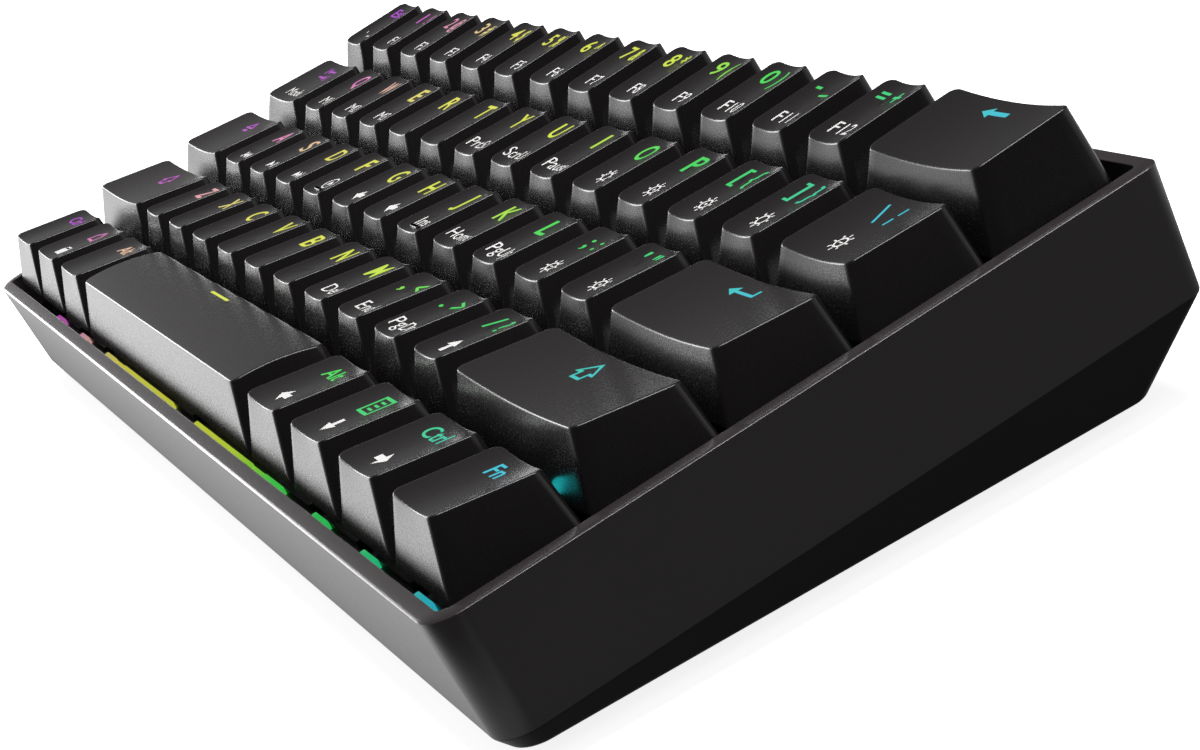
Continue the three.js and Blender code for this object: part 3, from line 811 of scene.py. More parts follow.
# Outlines of the symbols, in millimetres round the middle of each
SYMBOLS: dict[str, Callable[[], list[Outline]]] = {
    "<sun>": sun,
    "<dim sun>": lambda: sun([disc(0.28, 12)]),
    "<bright sun>": lambda: sun(stroke([(-0.4, 0), (0.4, 0)], 0.22)),
    "<shift>": lambda: [shift_arrow(0.3), shift_arrow(-0.22)],
    "<left>": lambda: arrow(3.7, 1.9, 1.6, 1.15),
    "<down>": lambda: arrow(3.5, 1.8, 1.6, 1.15, 1),
    "<right>": lambda: arrow(3.7, 1.9, 1.6, 1.15, 2),
    "<up>": lambda: arrow(3.5, 1.8, 1.6, 1.15, 3),
    "<back>": lambda: arrow(6.8, 2.3, 1.05, 0.8),
    "<return>": lambda: [
        np.array([(-3.75, -0.35), (-1.5, -1.35), (-1.5, -0.6), (3.75, -0.6), (3.75, 1.0), (3.2, 1.0),
                  (3.2, -0.1), (-1.5, -0.1), (-1.5, 0.65)]),
    ],
    "<tab>": lambda: [
        *(part + (0.3, 1.1) for part in arrow(4.6, 1.5, 0.85, 0.45)),
        *stroke([(-2.6, 1.9), (-2.6, 0.3)], 0.45),
        *(part - (0.3, 1.1) for part in arrow(4.6, 1.5, 0.85, 0.45, 2)),
        *stroke([(2.6, -0.3), (2.6, -1.9)], 0.45),
    ],
    "<caps>": lambda: [
        np.array([(0, 2.0), (2.5, -0.3), (-2.5, -0.3)]), np.array([(0, 1.25), (1.35, 0.1), (-1.35, 0.1)]),
        box(-1.4, 1.4, -1.5, -0.85),
    ],
    "<menu>": lambda: [
        box(-2.15, 2.15, -2.3, 2.3), box(-1.65, 1.65, -1.8, 1.8),
        *(box(-0.85, 0.85, y - 0.2, y + 0.2) for y in (-1.0, 0.0, 1.0)),
    ],
    "<home>": lambda: [
        np.array([(-1.9, -1.9), (1.9, -1.9), (1.9, 0.2), (0, 1.9), (-1.9, 0.2)]),
        np.array([(-1.4, -1.4), (1.4, -1.4), (1.4, 0.0), (0, 1.25), (-1.4, 0.0)]),
    ],
    "<lock>": lambda: [
        box(-1.7, 1.7, -1.4, 0.7),
        np.array([(-1.2, 0.7), (-0.85, 0.7), (-0.85, 1.25), (0.85, 1.25), (0.85, 0.7), (1.2, 0.7), (1.2, 1.6),
                  (-1.2, 1.6)]),
    ],
    "<dash>": lambda: [box(-5.5, 5.5, -0.28, 0.28)],
    "<bars>": lambda: [
        *stroke([(-2.6, 1.75), (-0.6, -1.75)], 0.42), box(2.3, 2.7, 0.35, 1.95), box(2.3, 2.7, -1.95, -0.35),
    ],
    "<play>": lambda: [disc(1.75, 40), disc(1.45, 40), wedge(0.9, -0.6, 0.85)],
    "<previous>": lambda: [wedge(-1.3, 0.1, 1.0), wedge(0.2, 1.7, 1.0), box(-1.8, -1.4, -1.0, 1.0)],
    "<pause>": lambda: [wedge(0.0, -1.8, 1.1), box(0.5, 0.9, -1.0, 1.0), box(1.3, 1.7, -1.0, 1.0)],
    "<next>": lambda: [wedge(-0.1, -1.7, 1.0), wedge(1.3, -0.2, 1.0), box(1.4, 1.8, -1.0, 1.0)],
}


class Mark(Enum):
    """Kinds of legend: height of a capital, most stretch, widest box, and gap from the face's edge.

    Lengths are in millimetres. The gap is from the rear edge for a lit legend, and from the front edge for a
    printed one.
    """

    LETTER = (4.0, 1.4, 3.9, 1.6)
    PAIR = (3.3, 1.35, 6.4, 1.8)
    WORD = (2.6, 1.3, 8.0, 1.9)
    SYMBOL = (0.0, 1.0, 11.0, 1.9)
    PRINT = (2.5, 1.2, 9.0, 2.0)


@dataclass
class Legend:
    """Generic mark on a cap: letters, or a symbol written as <name>."""

    key: Key
    text: str
    lit: bool
    weight: float = 0.01
    capital: float = 0.7
    proud: float = 0.02
    sunk: float = 0.15
    half_thickness: float = 0.5
    side_margin: float = 1.4
    fineness: int = 4
    weld: float = 1e-6

    @property
    def kind(self) -> Mark:
        """Kind of the mark."""
        if not self.lit:
            return Mark.PRINT
        if self.text.startswith("<"):
            return Mark.SYMBOL
        return Mark.LETTER if len(self.text) == 1 else Mark.PAIR if " " in self.text else Mark.WORD

    def curve(self) -> bpy.types.Curve:
        """Flat filled curve of the mark, in millimetres."""
        if self.text.startswith("<"):
            data = bpy.data.curves.new("mark", "CURVE")
            for outline in SYMBOLS[self.text]():
                line = data.splines.new("POLY")
                line.points.add(len(outline) - 1)
                places = np.column_stack([outline, np.zeros((len(outline), 2))])
                line.points.foreach_set("co", places.ravel())
                line.use_cyclic_u = True
        else:
            data = bpy.data.curves.new("mark", "FONT")
            data.body = self.text
            data.size = self.kind.value[0] / self.capital
            data.offset = self.weight * data.size if self.lit else 0.0
            data.resolution_u = self.fineness
        data.dimensions = "2D"
        data.fill_mode = "BOTH"
        data.extrude = self.half_thickness
        return data

    def build(self, name: str) -> bpy.types.Mesh:
        """Lays the mark on the cap's top face.

        The flat mark is stretched across to its kind's width and centred on the cap. Text stands on its
        baseline, and a symbol's box is used for its height. A point above the flat plane goes just above the
        top face, and one below goes just under it.

        Args:
            name: name of the mesh.

        Returns:
            The mesh in the row frame.
        """
        holder = linked("mark", self.curve())
        graph = bpy.context.evaluated_depsgraph_get()
        data = bpy.data.meshes.new_from_object(holder.evaluated_get(graph))
        curve = holder.data
        bpy.data.objects.remove(holder)
        bpy.data.curves.remove(curve)
        points = np.empty(len(data.vertices) * 3)
        data.vertices.foreach_get("co", points)
        points = points.reshape(-1, 3)
        low, high = points.min(0), points.max(0)
        capital, stretch, widest, gap = self.kind.value
        symbol = self.text.startswith("<")
        widest = min(widest, self.key.top[1] - self.key.top[0] - self.side_margin)
        across = min(1.0 if symbol else stretch, widest / (high[0] - low[0]))
        x = self.key.centre[0] + (points[:, 0] - (low[0] + high[0]) / 2) * across
        if self.lit:
            y = self.key.top[3] - gap + points[:, 1] - (high[1] if symbol else capital)
        else:
            y = self.key.top[2] + gap + points[:, 1] - (low[1] if symbol else 0.0)
        surface = self.key.surface(np.column_stack([x, y]))
        z = surface + np.where(points[:, 2] > 0, self.proud, -self.sunk)
        data.vertices.foreach_set("co", DECK.to_row(np.column_stack([x, y, z])).ravel())
        data.name = name
        work = bmesh.new()
        work.from_mesh(data)
        bmesh.ops.remove_doubles(work, verts=work.verts, dist=self.weld)
        bmesh.ops.recalc_face_normals(work, faces=work.faces)
        work.to_mesh(data)
        work.free()
        return data


@dataclass
class HomingBar:
    """Low rounded bar near the front of a home key's top, felt by the forefinger."""

    key: Key
    half_length: float = 1.9
    half_depth: float = 0.35
    from_front: float = 1.5
    radius: float = 0.3
    profile: tuple[tuple[float, float], ...] = ((0.0, -0.2), (0.0, 0.15), (-0.12, 0.27), (-0.24, 0.3))

    def skin(self) -> Skin:
        """Skin over rings that grow outwards and rise from the top face by the steps of the profile."""
        x, y = self.key.centre[0], self.key.top[2] + self.from_front
        across, along = self.half_length, self.half_depth
        rings = []
        for grow, rise in self.profile:
            outline = (x - across - grow, x + across + grow, y - along - grow, y + along + grow)
            flat = rounded_ring(outline, (self.radius, self.radius), (3, 1, 4))
            rings.append(np.column_stack([flat, self.key.surface(flat) + rise]))
        return Skin().add_stack(np.array(rings))

    def build(self) -> None:
        """Makes the bar."""
        name = f"homing_bar_{self.key.name}"
        place(name, self.skin().mesh(name), Finish.CAP.material, self.key.body)


# Layout: each row's slope, then its caps from the left as name, width in pitches, legend and printed legend.
# Caps listed together ride on one body.
ROWS = (
    (Sculpt.NUMBER, (
        [("esc", 1, "Esc", "` ~")],
        [("1", 1, "1 !", "F1"), ("2", 1, "2 @", "F2")],
        [("3", 1, "3 #", "F3"), ("4", 1, "4 $", "F4")],
        [("5", 1, "5 %", "F5"), ("6", 1, "6 ^", "F6")],
        [("7", 1, "7 &", "F7")],
        [("8", 1, "8 *", "F8")],
        [("9", 1, "9 (", "F9")],
        [("0", 1, "0 )", "F10")],
        [("minus", 1, "- _", "F11")],
        [("equals", 1, "= +", "F12")],
        [("backspace", 2, "<back>", "")],
    )),
    (Sculpt.UPPER, (
        [("tab", 1.5, "<tab>", "Mode")],
        [("q", 1, "Q", "M1"), ("w", 1, "W", "M2")],
        [("e", 1, "E", "M3"), ("r", 1, "R", "")],
        [("t", 1, "T", ""), ("y", 1, "Y", "PrtSc")],
        [("u", 1, "U", "ScrLk")],
        [("i", 1, "I", "Pause")],
        [("o", 1, "O", "<sun>")],
        [("p", 1, "P", "<dim sun>")],
        [("left_bracket", 1, "[ {", "<dim sun>")],
        [("right_bracket", 1, "] }", "<sun>")],
        [("backslash", 1.5, "<bars>", "<bright sun>")],
    )),
    (Sculpt.HOME, (
        [("caps_lock", 1.75, "<caps>", "")],
        [("a", 1, "A", "<previous>"), ("s", 1, "S", "<pause>")],
        [("d", 1, "D", "<next>"), ("f", 1, "F", "<play>")],
        [("g", 1, "G", "<left>"), ("h", 1, "H", "<left>")],
        [("j", 1, "J", "Ins")],
        [("k", 1, "K", "Home")],
        [("l", 1, "L", "PgUp")],
        [("semicolon", 1, "; :", "<bright sun>")],
        [("quote", 1, "' \"", "<dim sun>")],
        [("enter", 2.25, "<return>", "")],
    )),
    (Sculpt.LOWER, (
        [("left_shift", 2.25, "<shift>", "")],
        [("z", 1, "Z", ""), ("x", 1, "X", "")],
        [("c", 1, "C", ""), ("v", 1, "V", "")],
        [("b", 1, "B", ""), ("n", 1, "N", "")],
        [("m", 1, "M", "Del")],
        [("comma", 1, ", <", "End")],
        [("period", 1, ". >", "PgDn")],
        [("slash", 1, "/ ?", "<up>")],
        [("right_shift", 2.75, "<shift>", "")],
    )),
    (Sculpt.BOTTOM, (
        [("left_control", 1.25, "Ctrl", "")],
        [("left_super", 1.25, "<home>", "<lock>")],
        [("left_alt", 1.25, "Alt", "")],
        [("space", 6.25, "<dash>", "")],
        [("right_alt", 1.25, "Alt", "<left>")],
        [("menu", 1.25, "<menu>", "<down>")],
        [("right_control", 1.25, "Ctrl", "<right>")],
        [("function", 1.25, "Fn", "")],
    )),
)


@dataclass
class KeyField:
    """All keys, row by row from the back."""

    homing: tuple[str, ...] = ("f", "j")
    keys: list[Key] = field(default_factory=list)

    def lay_out(self) -> None:
        """Works out each key's cell from the widths along its row."""
        for index, (sculpt, groups) in enumerate(ROWS):
            front = (len(ROWS) - 1 - index) * PITCH
            left = ROW_START
            for caps in groups:
                body = "key_" + "_".join(cap[0] for cap in caps)
                for name, units, main, second in caps:
                    self.keys.append(Key(name, body, units, left, front, sculpt, main, second))
                    left += units * PITCH

    def build(self) -> None:
        """Makes every key and lets its caps stand for the CAD keys."""
        self.lay_out()
        for key in self.keys:
            key.build()
            if key.name in self.homing:
                HomingBar(key).build()
        for key in self.keys:
            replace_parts(bpy.data.objects[f"cap_{key.name}"], key.body)
        LOG.info("%d keys", len(self.keys))


# Case

@dataclass
class CaseTray:
    """One-piece tray: wedge-shaped underside, crease, drafted walls and rim."""

    left: float = ROW_START
    rim_z: float = 1.0
    rim_out: tuple[float, float, float] = (3.6, 3.5, 4.05)
    rim_thickness: tuple[float, float, float] = (2.6, 2.35, 2.1)
    rim_fall: tuple[float, float] = (0.12, 0.12)
    rim_bend: float = 4.0
    rim_break: tuple[float, float] = (0.45, 0.24)
    break_corner: float = 0.3
    break_share: float = 0.62
    draft: float = 1.0
    crease_z: float = -16.4
    keel_inset: tuple[float, float, float] = (1.3, 1.9, 11.6)
    floor: float = 2.4
    ledge_z: float = -7.5
    bay_inset: tuple[float, float, float] = (1.9, 1.05, 1.3)
    corner: tuple[float, float] = (5.0, 2.3)
    keel_corner: tuple[float, float] = (3.6, 2.5)
    inner_corner: tuple[float, float] = (1.8, 0.9)
    bay_corner: tuple[float, float] = (0.4, 0.4)
    floor_steps: tuple[float, float] = (6.0, 20.0)
    rounding: tuple[float, ...] = (0, 0, 0, 0.7, 0.35, 0, 0, 0.22, 0.1, 0.1, 0.4, 0, 0, 0)
    keel_lean: float = 0.04
    port: tuple[float, float] = (6.3, 3.1)
    port_radius: float = 1.6
    port_reach: float = 2.0
    counts: tuple[int, int, int] = (40, 24, 15)

    def outlines(self) -> dict[str, tuple[float, ...]]:
        """Outlines of the rim, crease, keel, opening and bay."""
        side, front, rear = self.rim_out
        rim = (self.left - side, -self.left + side, -front, FIELD_DEPTH + rear)
        crease = inset(rim, self.draft)
        keel_side, keel_front, keel_rear = self.keel_inset
        keel = inset(crease, (keel_side, keel_side, keel_front, keel_rear))
        side, front, rear = self.rim_thickness
        opening = inset(rim, (side, side, front, rear))
        side, front, rear = self.bay_inset
        bay = inset(opening, (side, side, front, rear))
        return {"rim": rim, "crease": crease, "keel": keel, "opening": opening, "bay": bay}

    def keel_z(self, y: np.ndarray) -> np.ndarray:
        """Height of the level underside in the tilted deck: -drop - tan(tilt) y."""
        return -DECK.keel_drop - math.tan(math.radians(DECK.tilt)) * y

    def ring(
        self, outline: Sequence[float], radii: tuple[float, float], height: Callable | float,
    ) -> np.ndarray:
        """Ring of the case at a height that may depend on Y."""
        flat = rounded_ring(outline, radii, self.counts)
        return np.column_stack([flat, height(flat[:, 1])]) if callable(height) else level(flat, height)

    def rim_height(self, outline: Sequence[float], fall: float, below: float = 0.0) -> Callable:
        """Height of the rim: level, and lower by fall t^2 at the front, with t from 0 to 1 over the bend."""
        bend = self.rim_bend
        return lambda y: self.rim_z - below - fall * np.clip((outline[2] + bend - y) / bend, 0, 1) ** 2

    def bay_z(self, y: np.ndarray) -> np.ndarray:
        """Inner floor: the higher of the keel and the rear facet, each raised by the wall's thickness."""
        places = self.outlines()
        keel_rear, crease_rear = places["keel"][3], places["crease"][3]
        slope = (self.keel_z(np.array(keel_rear)) - self.crease_z) / (keel_rear - crease_rear)
        facet = self.crease_z + (y - crease_rear) * slope + self.floor * math.hypot(1, slope)
        return np.maximum(self.keel_z(y) + self.floor, facet)

    def shell(self) -> Skin:
        """Skin from the middle of the underside up the walls, over the rim and down to the inner floor."""
        places = self.outlines()

        def middle(outline: Sequence[float], height: Callable) -> np.ndarray:
            """Ring that has shrunk to the spine of its outline."""
            half = (outline[3] - outline[2]) / 2
            return self.ring(inset(outline, half), (0.0, 0.0), height)

        def shrunk(outline: Sequence[float], by: float, height: Callable) -> np.ndarray:
            """Ring that has shrunk by a distance, with square corners."""
            return self.ring(inset(outline, by), (0.0, 0.0), height)

        keel, rim, opening, bay = (places[name] for name in ("keel", "rim", "opening", "bay"))
        near, far = self.floor_steps
        fall = self.rim_fall[0]
        break_corner = tuple(radius - self.break_corner for radius in self.corner)
        stack = [
            middle(keel, self.keel_z),
            shrunk(keel, far, self.keel_z),
            shrunk(keel, near, self.keel_z),
            self.ring(keel, self.keel_corner, self.keel_z),
            self.ring(places["crease"], self.corner, self.crease_z),
            self.ring(rim, self.corner, self.rim_height(rim, fall, self.rim_break[1])),
            self.ring(inset(rim, self.rim_break[0]), break_corner,
                      self.rim_height(rim, fall * self.break_share)),
            self.ring(opening, self.inner_corner, self.rim_height(opening, -self.rim_fall[1])),
            self.ring(opening, self.inner_corner, self.ledge_z),
            self.ring(bay, self.bay_corner, self.ledge_z),
            self.ring(bay, self.bay_corner, self.bay_z),
            shrunk(bay, near, self.bay_z),
            shrunk(bay, far, self.bay_z),
            middle(bay, self.bay_z),
        ]
        rings = soften(stack, self.rounding, steps=7)
        return Skin().add(rings.reshape(-1, 3), ring_faces(*rings.shape[:2]))

    def cutters(self) -> Skin:
        """Solids that cut the port for the cable and the recesses of the feet."""
        places = self.outlines()
        half, rise = self.port
        outline = (Socket.x - half, Socket.x + half, Socket.z - rise, Socket.z + rise)
        flat = rounded_ring(outline, (self.port_radius, self.port_radius), (2, 2, 9))
        depths = (places["bay"][3] - self.port_reach, places["rim"][3] + self.port_reach)
        skin = Skin().add_stack(np.array([upright(flat, y) for y in depths]))
        for foot in (Foot(True), Foot(False)):
            skin.add_stack(foot.recess())
        return skin

    def dress_keel(self, mesh: bpy.types.Mesh) -> None:
        """Gives the outer faces below the crease their own finish.

        They are the faces that lie below the crease and lean down by more than the walls do; their darker
        colour is painted shade.

        Args:
            mesh: the finished mesh of the tray, in the row frame.
        """
        count = len(mesh.polygons)
        centres = np.empty(3 * count)
        normals = np.empty(3 * count)
        slots = np.empty(count, dtype=np.int32)
        mesh.polygons.foreach_get("center", centres)
        mesh.polygons.foreach_get("normal", normals)
        mesh.polygons.foreach_get("material_index", slots)
        centres, normals = centres.reshape(-1, 3), normals.reshape(-1, 3)
        front, rear = DECK.to_row(np.array([[0.0, 0.0, self.crease_z], [0.0, FIELD_DEPTH, self.crease_z]]))
        crease = np.interp(centres[:, 1], (front[1], rear[1]), (front[2], rear[2]))
        mesh.materials.append(Finish.KEEL.material)
        # Faces below the crease that lean down get the darker copy of the case's finish: painted shade, with
        # less shine
        dull = (centres[:, 2] < crease) & (normals[:, 2] < -self.keel_lean)
        mesh.polygons.foreach_set("material_index", np.where(dull, 1, slots).astype(np.int32))

    def build(self) -> None:
        """Makes the tray and lets it stand for the CAD tray."""
        shell = self.shell().mesh("case_shell")
        piece = place("case_shell", shell, Finish.CASE.material, ROOT, sharp=30.0)
        tool = linked("case_cutters", self.cutters().mesh("case_cutters"))
        cut = piece.modifiers.new("cut", "BOOLEAN")
        cut.object, cut.operation, cut.solver = tool, "DIFFERENCE", "EXACT"
        weigh = piece.modifiers.new("weigh", "WEIGHTED_NORMAL")
        weigh.keep_sharp, weigh.weight = True, 80
        settled(piece)
        bpy.data.objects.remove(tool)
        self.dress_keel(piece.data)
        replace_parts(piece, "case_tray")
        LOG.info("case shell, %d faces", len(piece.data.polygons))


@dataclass
class Foot:
    """Level rubber strip under the front or the rear of the case, in its recess."""

    front: bool
    length: float = 220.0
    width: float = 9.0
    from_front: float = 11.0
    from_rear: float = 10.0
    radius: float = 4.2
    gap: float = 0.3
    recess_depth: float = 0.9
    edge: float = 0.6
    top_edge: float = 0.2
    face_inset: float = 1.6
    cut_below: float = 0.5

    def centre(self) -> float:
        """Y of the strip's middle in the row frame, in millimetres."""
        case = CaseTray()
        keel = case.outlines()["keel"]
        edge = keel[2] if self.front else keel[3]
        point = np.array([0, edge, float(case.keel_z(np.array(edge)))])
        return DECK.to_row(point)[1] * METRE + (self.from_front if self.front else -self.from_rear)

    def ring(self, grow: float, z: float) -> np.ndarray:
        """Ring of the strip in deck millimetres at a height over the table."""
        y = self.centre()
        outline = (-self.length / 2 - grow, self.length / 2 + grow, y - self.width / 2 - grow,
                   y + self.width / 2 + grow)
        radius = self.radius + grow
        flat = rounded_ring(outline, (radius, radius), (100, 1, 12))
        return (level(flat, z) - DECK.shift()) @ DECK.turn()

    def recess(self) -> np.ndarray:
        """Rings of the solid that cuts the recess."""
        top = DECK.foot_stand + self.recess_depth
        return np.array([self.ring(self.gap, -self.cut_below), self.ring(self.gap, top)])

    def build(self) -> None:
        """Makes the strip and lets it stand for its CAD node."""
        top = DECK.foot_stand + self.recess_depth - self.gap
        node = "foot_front" if self.front else "foot_rear"
        stack = soften(
            [self.ring(grow, z) for grow, z in (
                (-self.face_inset, 0.0), (0.0, 0.0), (0.0, top), (-self.face_inset, top),
            )],
            [0, self.edge, self.top_edge, 0],
        )
        name = f"{node}_strip"
        piece = place(name, Skin().add_stack(stack).mesh(name), Finish.RUBBER.material, ROOT)
        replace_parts(piece, node)


# Parts under the keys

@dataclass
class Socket:
    """Socket for the cable, with its oval shell open to the rear and a tongue inside."""

    width: float = 8.94
    height: float = 3.2
    radius: float = 1.58
    shell: float = 0.3
    mouth: float = 95.2
    length: float = 7.4
    depth: float = 5.6
    x: float = ROW_START + PITCH
    z: float = -12.3
    rounding: float = 0.1
    least_radius: float = 0.05
    tongue: tuple[tuple[float, float], ...] = ((6.7, 1.2), (6.7, 0.7), (6.3, 0.4))
    tongue_steps: tuple[float, float, float] = (-0.1, 1.2, 1.3)
    tongue_ends: tuple[float, float] = (1.0, 0.8)
    tongue_radius: float = 0.15

    def oval(self, less: float, y: float) -> np.ndarray:
        """Ring across the socket."""
        half, rise = self.width / 2 - less, self.height / 2 - less
        radius = max(self.radius - less, self.least_radius)
        flat = rounded_ring((-half, half, -rise, rise), (radius, radius), (4, 1, 9))
        return upright(flat + (self.x, self.z), y)

    def build(self) -> None:
        """Makes the shell and the tongue and lets them stand for the CAD socket."""
        back, floor = self.mouth - self.length, self.mouth - self.depth
        stack = soften(
            [self.oval(0, back), self.oval(0, self.mouth), self.oval(self.shell, self.mouth),
             self.oval(self.shell, floor)],
            [0, self.rounding, self.rounding, 0],
        )
        shell = Skin().add_stack(stack).mesh("socket_shell")
        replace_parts(place("socket_shell", shell, Finish.NICKEL.material, ROOT), "usb_socket")
        base, blade, tip = self.tongue
        places = [floor + step for step in self.tongue_steps] + [self.mouth - end for end in self.tongue_ends]
        levels = []
        for y, (wide, tall) in zip(places, (base, base, blade, blade, tip)):
            outline = (-wide / 2, wide / 2, -tall / 2, tall / 2)
            flat = rounded_ring(outline, (self.tongue_radius, self.tongue_radius), (2, 1, 3))
            levels.append(upright(flat + (self.x, self.z), y))
        tongue = Skin().add_stack(np.array(levels))
        place("socket_tongue", tongue.mesh("socket_tongue"), Finish.TONGUE.material, ROOT)


@dataclass
class LightBars:
    """Clear bars on the plate between neighbouring switches, which carry the light to the front of each row.

    A bar starts to the right of one switch, ends in front of the next, and is lower in front of a stabiliser.
    """

    keys: list[Key]
    lead: float = 11.7
    lag: float = 5.7
    front: float = 1.0
    rear: float = 1.7
    low: float = -5.69
    high: float = -4.55
    dip: float = 0.35
    radius: float = 0.15
    stabiliser: tuple[float, float] = (-1.7, 5.7)
    spill_at: tuple[float, float, float] = (128.4, 19.0, 1.3)
    spill_colour: tuple[float, float, float] = (0.02, 0.75, 0.78)
    spill_radius: float = 1.1
    spill_watts: float = 0.0001

    def spans(self, row: list[Key]) -> Iterable[tuple[float, float, float]]:
        """Left end, right end and height of each bar of a row."""
        for one, two in zip(row[:-1], row[1:]):
            left = one.centre[0] + self.lead
            right = two.centre[0] - self.lag
            places = sorted(x for key in (one, two) for x in key.stabilisers if left < x < right)
            for x in places:
                start, end = x + self.stabiliser[0], x + self.stabiliser[1]
                yield left, start, self.high
                yield start, end, self.high - self.dip
                left = end
            yield left, right, self.high

    def build(self) -> None:
        """Makes one piece of bars for each row."""
        for sculpt in Sculpt:
            row = [key for key in self.keys if key.sculpt is sculpt]
            skin = Skin()
            for left, right, high in self.spans(row):
                outline = (left, right, row[0].front + self.front, row[0].front + self.rear)
                flat = rounded_ring(outline, (self.radius, self.radius), (1, 1, 4))
                skin.add_stack(np.array([level(flat, z) for z in (self.low, high)]))
            name = f"light_bars_{sculpt.name.lower()}"
            place(name, skin.mesh(name), Finish.GLOW.material, ROOT)
        self.spill()

    def spill(self) -> None:
        """Makes the light that escapes between the last caps of the two front rows."""
        data = bpy.data.lights.new("spill", "POINT")
        data.color = self.spill_colour
        data.energy = self.spill_watts
        data.shadow_soft_size = self.spill_radius / METRE
        lamp = linked("spill", data)
        lamp.location = DECK.to_row(np.array(self.spill_at))
        lamp.visible_camera = False


def dress_nodes() -> None:
    """Gives the CAD nodes that stay their finishes."""
    finishes = {
        "switch_plate": Finish.PLATE,
        "switch_housings": Finish.HOUSING,
        "circuit_board": Finish.BOARD,
        **{f"screw_{i}": Finish.ZINC for i in range(1, 5)},
    }
    for name, finish in finishes.items():
        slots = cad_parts[name].data.materials
        slots.clear()
        slots.append(finish.material)
        LOG.info("%s in %s", name, finish.value.name)


# Camera and studio

@dataclass(frozen=True)
class Lamp:
    """Soft rectangular lamp that the camera doesn't see, in metres and watts."""

    name: str
    size: tuple[float, float]
    place_at: tuple[float, float, float]
    target: tuple[float, float, float]
    watts: float

    def build(self) -> None:
        """Makes the lamp, turned to its target."""
        data = bpy.data.lights.new(self.name, "AREA")
        data.shape, data.size, data.size_y, data.energy = "RECTANGLE", *self.size, self.watts
        lamp = linked(self.name, data)
        lamp.location = self.place_at
        lamp.rotation_mode = "QUATERNION"
        lamp.rotation_quaternion = (Vector(self.target) - Vector(self.place_at)).to_track_quat("-Z", "Y")
        lamp.visible_camera = False


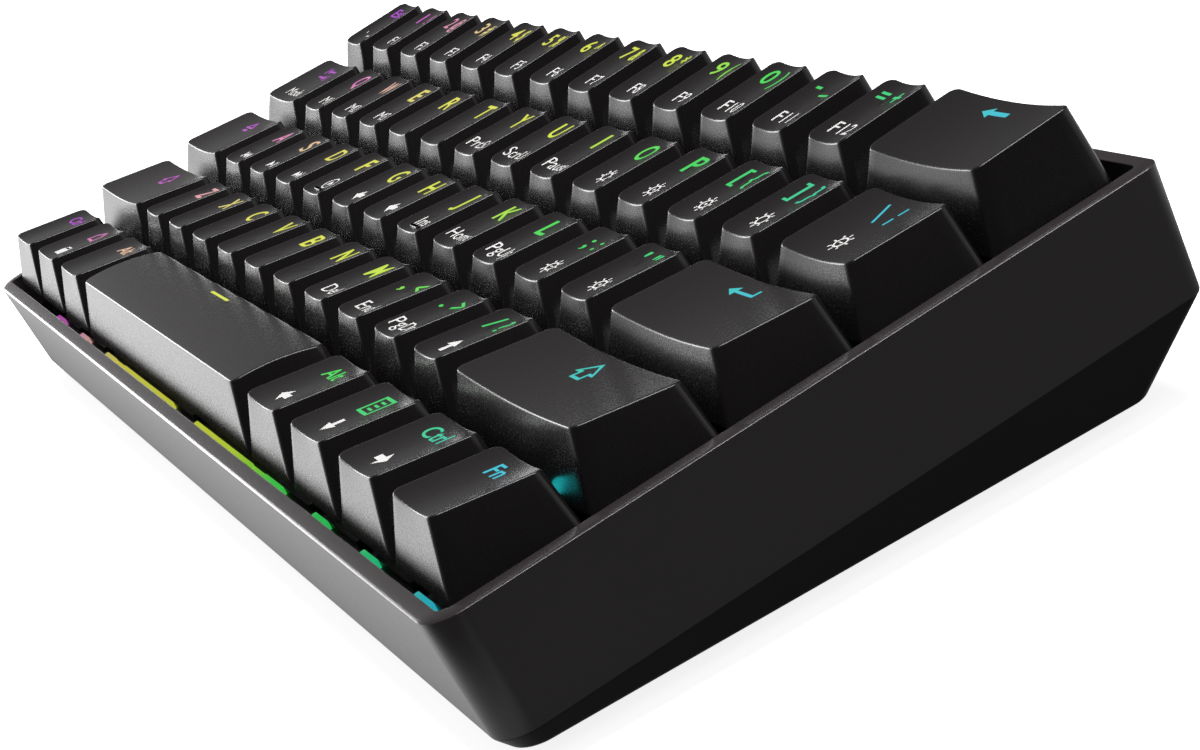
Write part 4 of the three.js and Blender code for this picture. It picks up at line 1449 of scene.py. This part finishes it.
@dataclass(frozen=True)
class Studio:
    """Camera, pale floor, pale world and soft lamps."""

    position: tuple[float, float, float] = (0.4595585, -0.1023152, 0.1369911)
    right: tuple[float, float, float] = (0.343722, 0.853873, -0.390840)
    down: tuple[float, float, float] = (0.156817, -0.462545, -0.872617)
    forward: tuple[float, float, float] = (-0.925885, 0.238648, -0.292889)
    lens: float = 91.5416
    sensor: float = 36.0
    clip: tuple[float, float] = (0.01, 20.0)
    floor_reach: float = 3.0
    floor_matt: float = 0.8
    floor_glow: float = 0.85
    floor_dark: float = 0.12
    # Painted shadow and pool of light in the floor's reflection: strength by Y, low next to the object and
    # high in front of it
    floor_light: tuple[tuple[float, float], ...] = (
        (-0.25, 2.3), (-0.088, 2.3), (-0.064, 0.85), (-0.0515, 0.6), (-0.0465, 0.25), (0.09, 0.25),
        (0.14, 1.0),
    )
    floor_way: tuple[float, float, float] = (-0.45, 1.0, 0.0)
    floor_edge: tuple[tuple[float, float], ...] = ((-0.145, 0.06), (-0.122, 1.0))
    wall_way: tuple[float, float, float] = (-0.94, -0.342, 0.0)
    wall_light: tuple[tuple[float, float], ...] = (
        (-0.2, 0.03), (0.6, 0.05), (0.79, 0.16), (0.88, 0.3), (0.945, 0.6), (0.975, 1.0), (0.997, 1.5),
        (1.0, 1.6),
    )
    wall_tint: tuple[float, float, float, float] = (1.0, 0.985, 0.985, 1.0)
    rear_way: tuple[float, float, float] = (0.3, 0.95, 0.0)
    rear_light: tuple[tuple[float, float], ...] = ((0.65, 0.0), (0.85, 0.5), (1.0, 0.6))
    soft_light: float = 0.25
    lamps: tuple[Lamp, ...] = (
        Lamp("overhead", (0.34, 1.0), (-0.04, 0.35, 1.32), (-0.04, 0.1, 0.0), 19.0),
        Lamp("left_front", (0.54, 0.35), (-1.91, -0.475, 0.4), (0.0, 0.0, 0.03), 4.8),
    )

    def camera(self) -> None:
        """Makes the camera with the photograph's place, direction and lens."""
        data = bpy.data.cameras.new("camera")
        data.sensor_fit, data.sensor_width, data.lens = "HORIZONTAL", self.sensor, self.lens
        data.clip_start, data.clip_end = self.clip
        camera = linked("camera", data)
        axes = Matrix((self.right, [-v for v in self.down], [-v for v in self.forward])).transposed()
        camera.matrix_world = Matrix.Translation(self.position) @ axes.to_4x4()
        bpy.context.scene.camera = camera

    def floor(self) -> None:
        """Makes the floor, white to the camera except where the object shades it.

        Its reflection in the object is painted: a painted shadow next to the object that brightens with the
        distance in front of it into a painted pool of light, as far as a slanted edge. For light that bounces
        it is a dark grey.
        Seen from below it is clear.
        """
        data = bpy.data.meshes.new("floor")
        reach = self.floor_reach
        corners = [(-reach, -reach, 0), (reach, -reach, 0), (reach, reach, 0), (-reach, reach, 0)]
        data.from_pydata(corners, [], [(0, 1, 2, 3)])
        floor = linked("floor", data)
        material, tree, output = empty_material("white_floor")
        paths = add_node(tree, "ShaderNodeLightPath")
        matt = add_node(tree, "ShaderNodeBsdfDiffuse", Color=grey(self.floor_matt))
        bright = add_node(tree, "ShaderNodeEmission", Color=WHITE, Strength=self.floor_glow)
        seen = add_node(tree, "ShaderNodeAddShader", links={0: matt.outputs[0], 1: bright.outputs[0]})
        # Painted shadow and pool of light, seen only in reflections: emission strength by Y times the slanted
        # edge of the pool
        place_at = add_node(tree, "ShaderNodeTexCoord").outputs["Object"]
        along = add_node(tree, "ShaderNodeSeparateXYZ", links={"Vector": place_at}).outputs["Y"]
        beyond = add_node(tree, "ShaderNodeVectorMath", {"operation": "DOT_PRODUCT"}, {0: place_at})
        beyond.inputs[1].default_value = self.floor_way
        pool = stops(tree, beyond.outputs["Value"], self.floor_edge)
        strength = add_node(tree, "ShaderNodeMath", {"operation": "MULTIPLY"},
                            {0: stops(tree, along, self.floor_light), 1: pool})
        mirror = add_node(tree, "ShaderNodeEmission", links={"Strength": strength.outputs["Value"]},
                          Color=WHITE)
        dark = add_node(tree, "ShaderNodeBsdfDiffuse", Color=grey(self.floor_dark))
        glossy = add_node(tree, "ShaderNodeMixShader",
                          links={0: paths.outputs["Is Glossy Ray"], 1: dark.outputs[0], 2: mirror.outputs[0]})
        mixed = add_node(tree, "ShaderNodeMixShader",
                         links={0: paths.outputs["Is Camera Ray"], 1: glossy.outputs[0], 2: seen.outputs[0]})
        below = add_node(tree, "ShaderNodeNewGeometry").outputs["Backfacing"]
        clear = add_node(tree, "ShaderNodeBsdfTransparent")
        whole = add_node(tree, "ShaderNodeMixShader",
                         links={0: below, 1: mixed.outputs[0], 2: clear.outputs[0]})
        tree.links.new(whole.outputs[0], output.inputs["Surface"])
        data.materials.append(material)

    def world(self) -> None:
        """Makes the world: white to the camera, dimmer for light, and in reflections two pale walls."""
        world = bpy.data.worlds.new("studio")
        world.use_nodes = True
        bpy.context.scene.world = world
        tree = world.node_tree
        tree.nodes.clear()
        output = tree.nodes.new("ShaderNodeOutputWorld")
        paths = add_node(tree, "ShaderNodeLightPath")
        way = add_node(tree, "ShaderNodeTexCoord").outputs["Generated"]
        walls = []
        for direction, light in ((self.wall_way, self.wall_light), (self.rear_way, self.rear_light)):
            toward = add_node(tree, "ShaderNodeVectorMath", {"operation": "DOT_PRODUCT"}, {0: way})
            toward.inputs[1].default_value = direction
            walls.append(stops(tree, toward.outputs["Value"], light))
        wall = add_node(tree, "ShaderNodeMath", {"operation": "ADD"}, dict(enumerate(walls))).outputs["Value"]
        soft = add_node(tree, "ShaderNodeBackground", Color=WHITE, Strength=self.soft_light)
        mirror = add_node(tree, "ShaderNodeBackground", links={"Strength": wall}, Color=self.wall_tint)
        white = add_node(tree, "ShaderNodeBackground", Color=WHITE, Strength=1.0)
        glossy = add_node(tree, "ShaderNodeMixShader",
                          links={0: paths.outputs["Is Glossy Ray"], 1: soft.outputs[0], 2: mirror.outputs[0]})
        seen = add_node(tree, "ShaderNodeMixShader",
                        links={0: paths.outputs["Is Camera Ray"], 1: glossy.outputs[0], 2: white.outputs[0]})
        tree.links.new(seen.outputs[0], output.inputs["Surface"])

    def build(self) -> None:
        """Makes everything round the object."""
        self.camera()
        self.floor()
        self.world()
        for lamp in self.lamps:
            lamp.build()
        bpy.context.scene.view_settings.view_transform = "Standard"


def main() -> None:
    """Builds the studio and every piece, and reports them."""
    logging.basicConfig(level=logging.INFO, format="%(name)s: %(message)s")
    Studio().build()
    field_of_keys = KeyField()
    field_of_keys.build()
    CaseTray().build()
    for front in (True, False):
        Foot(front).build()
    Socket().build()
    LightBars(field_of_keys.keys).build()
    dress_nodes()
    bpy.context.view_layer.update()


if __name__ == "__main__":
    main()
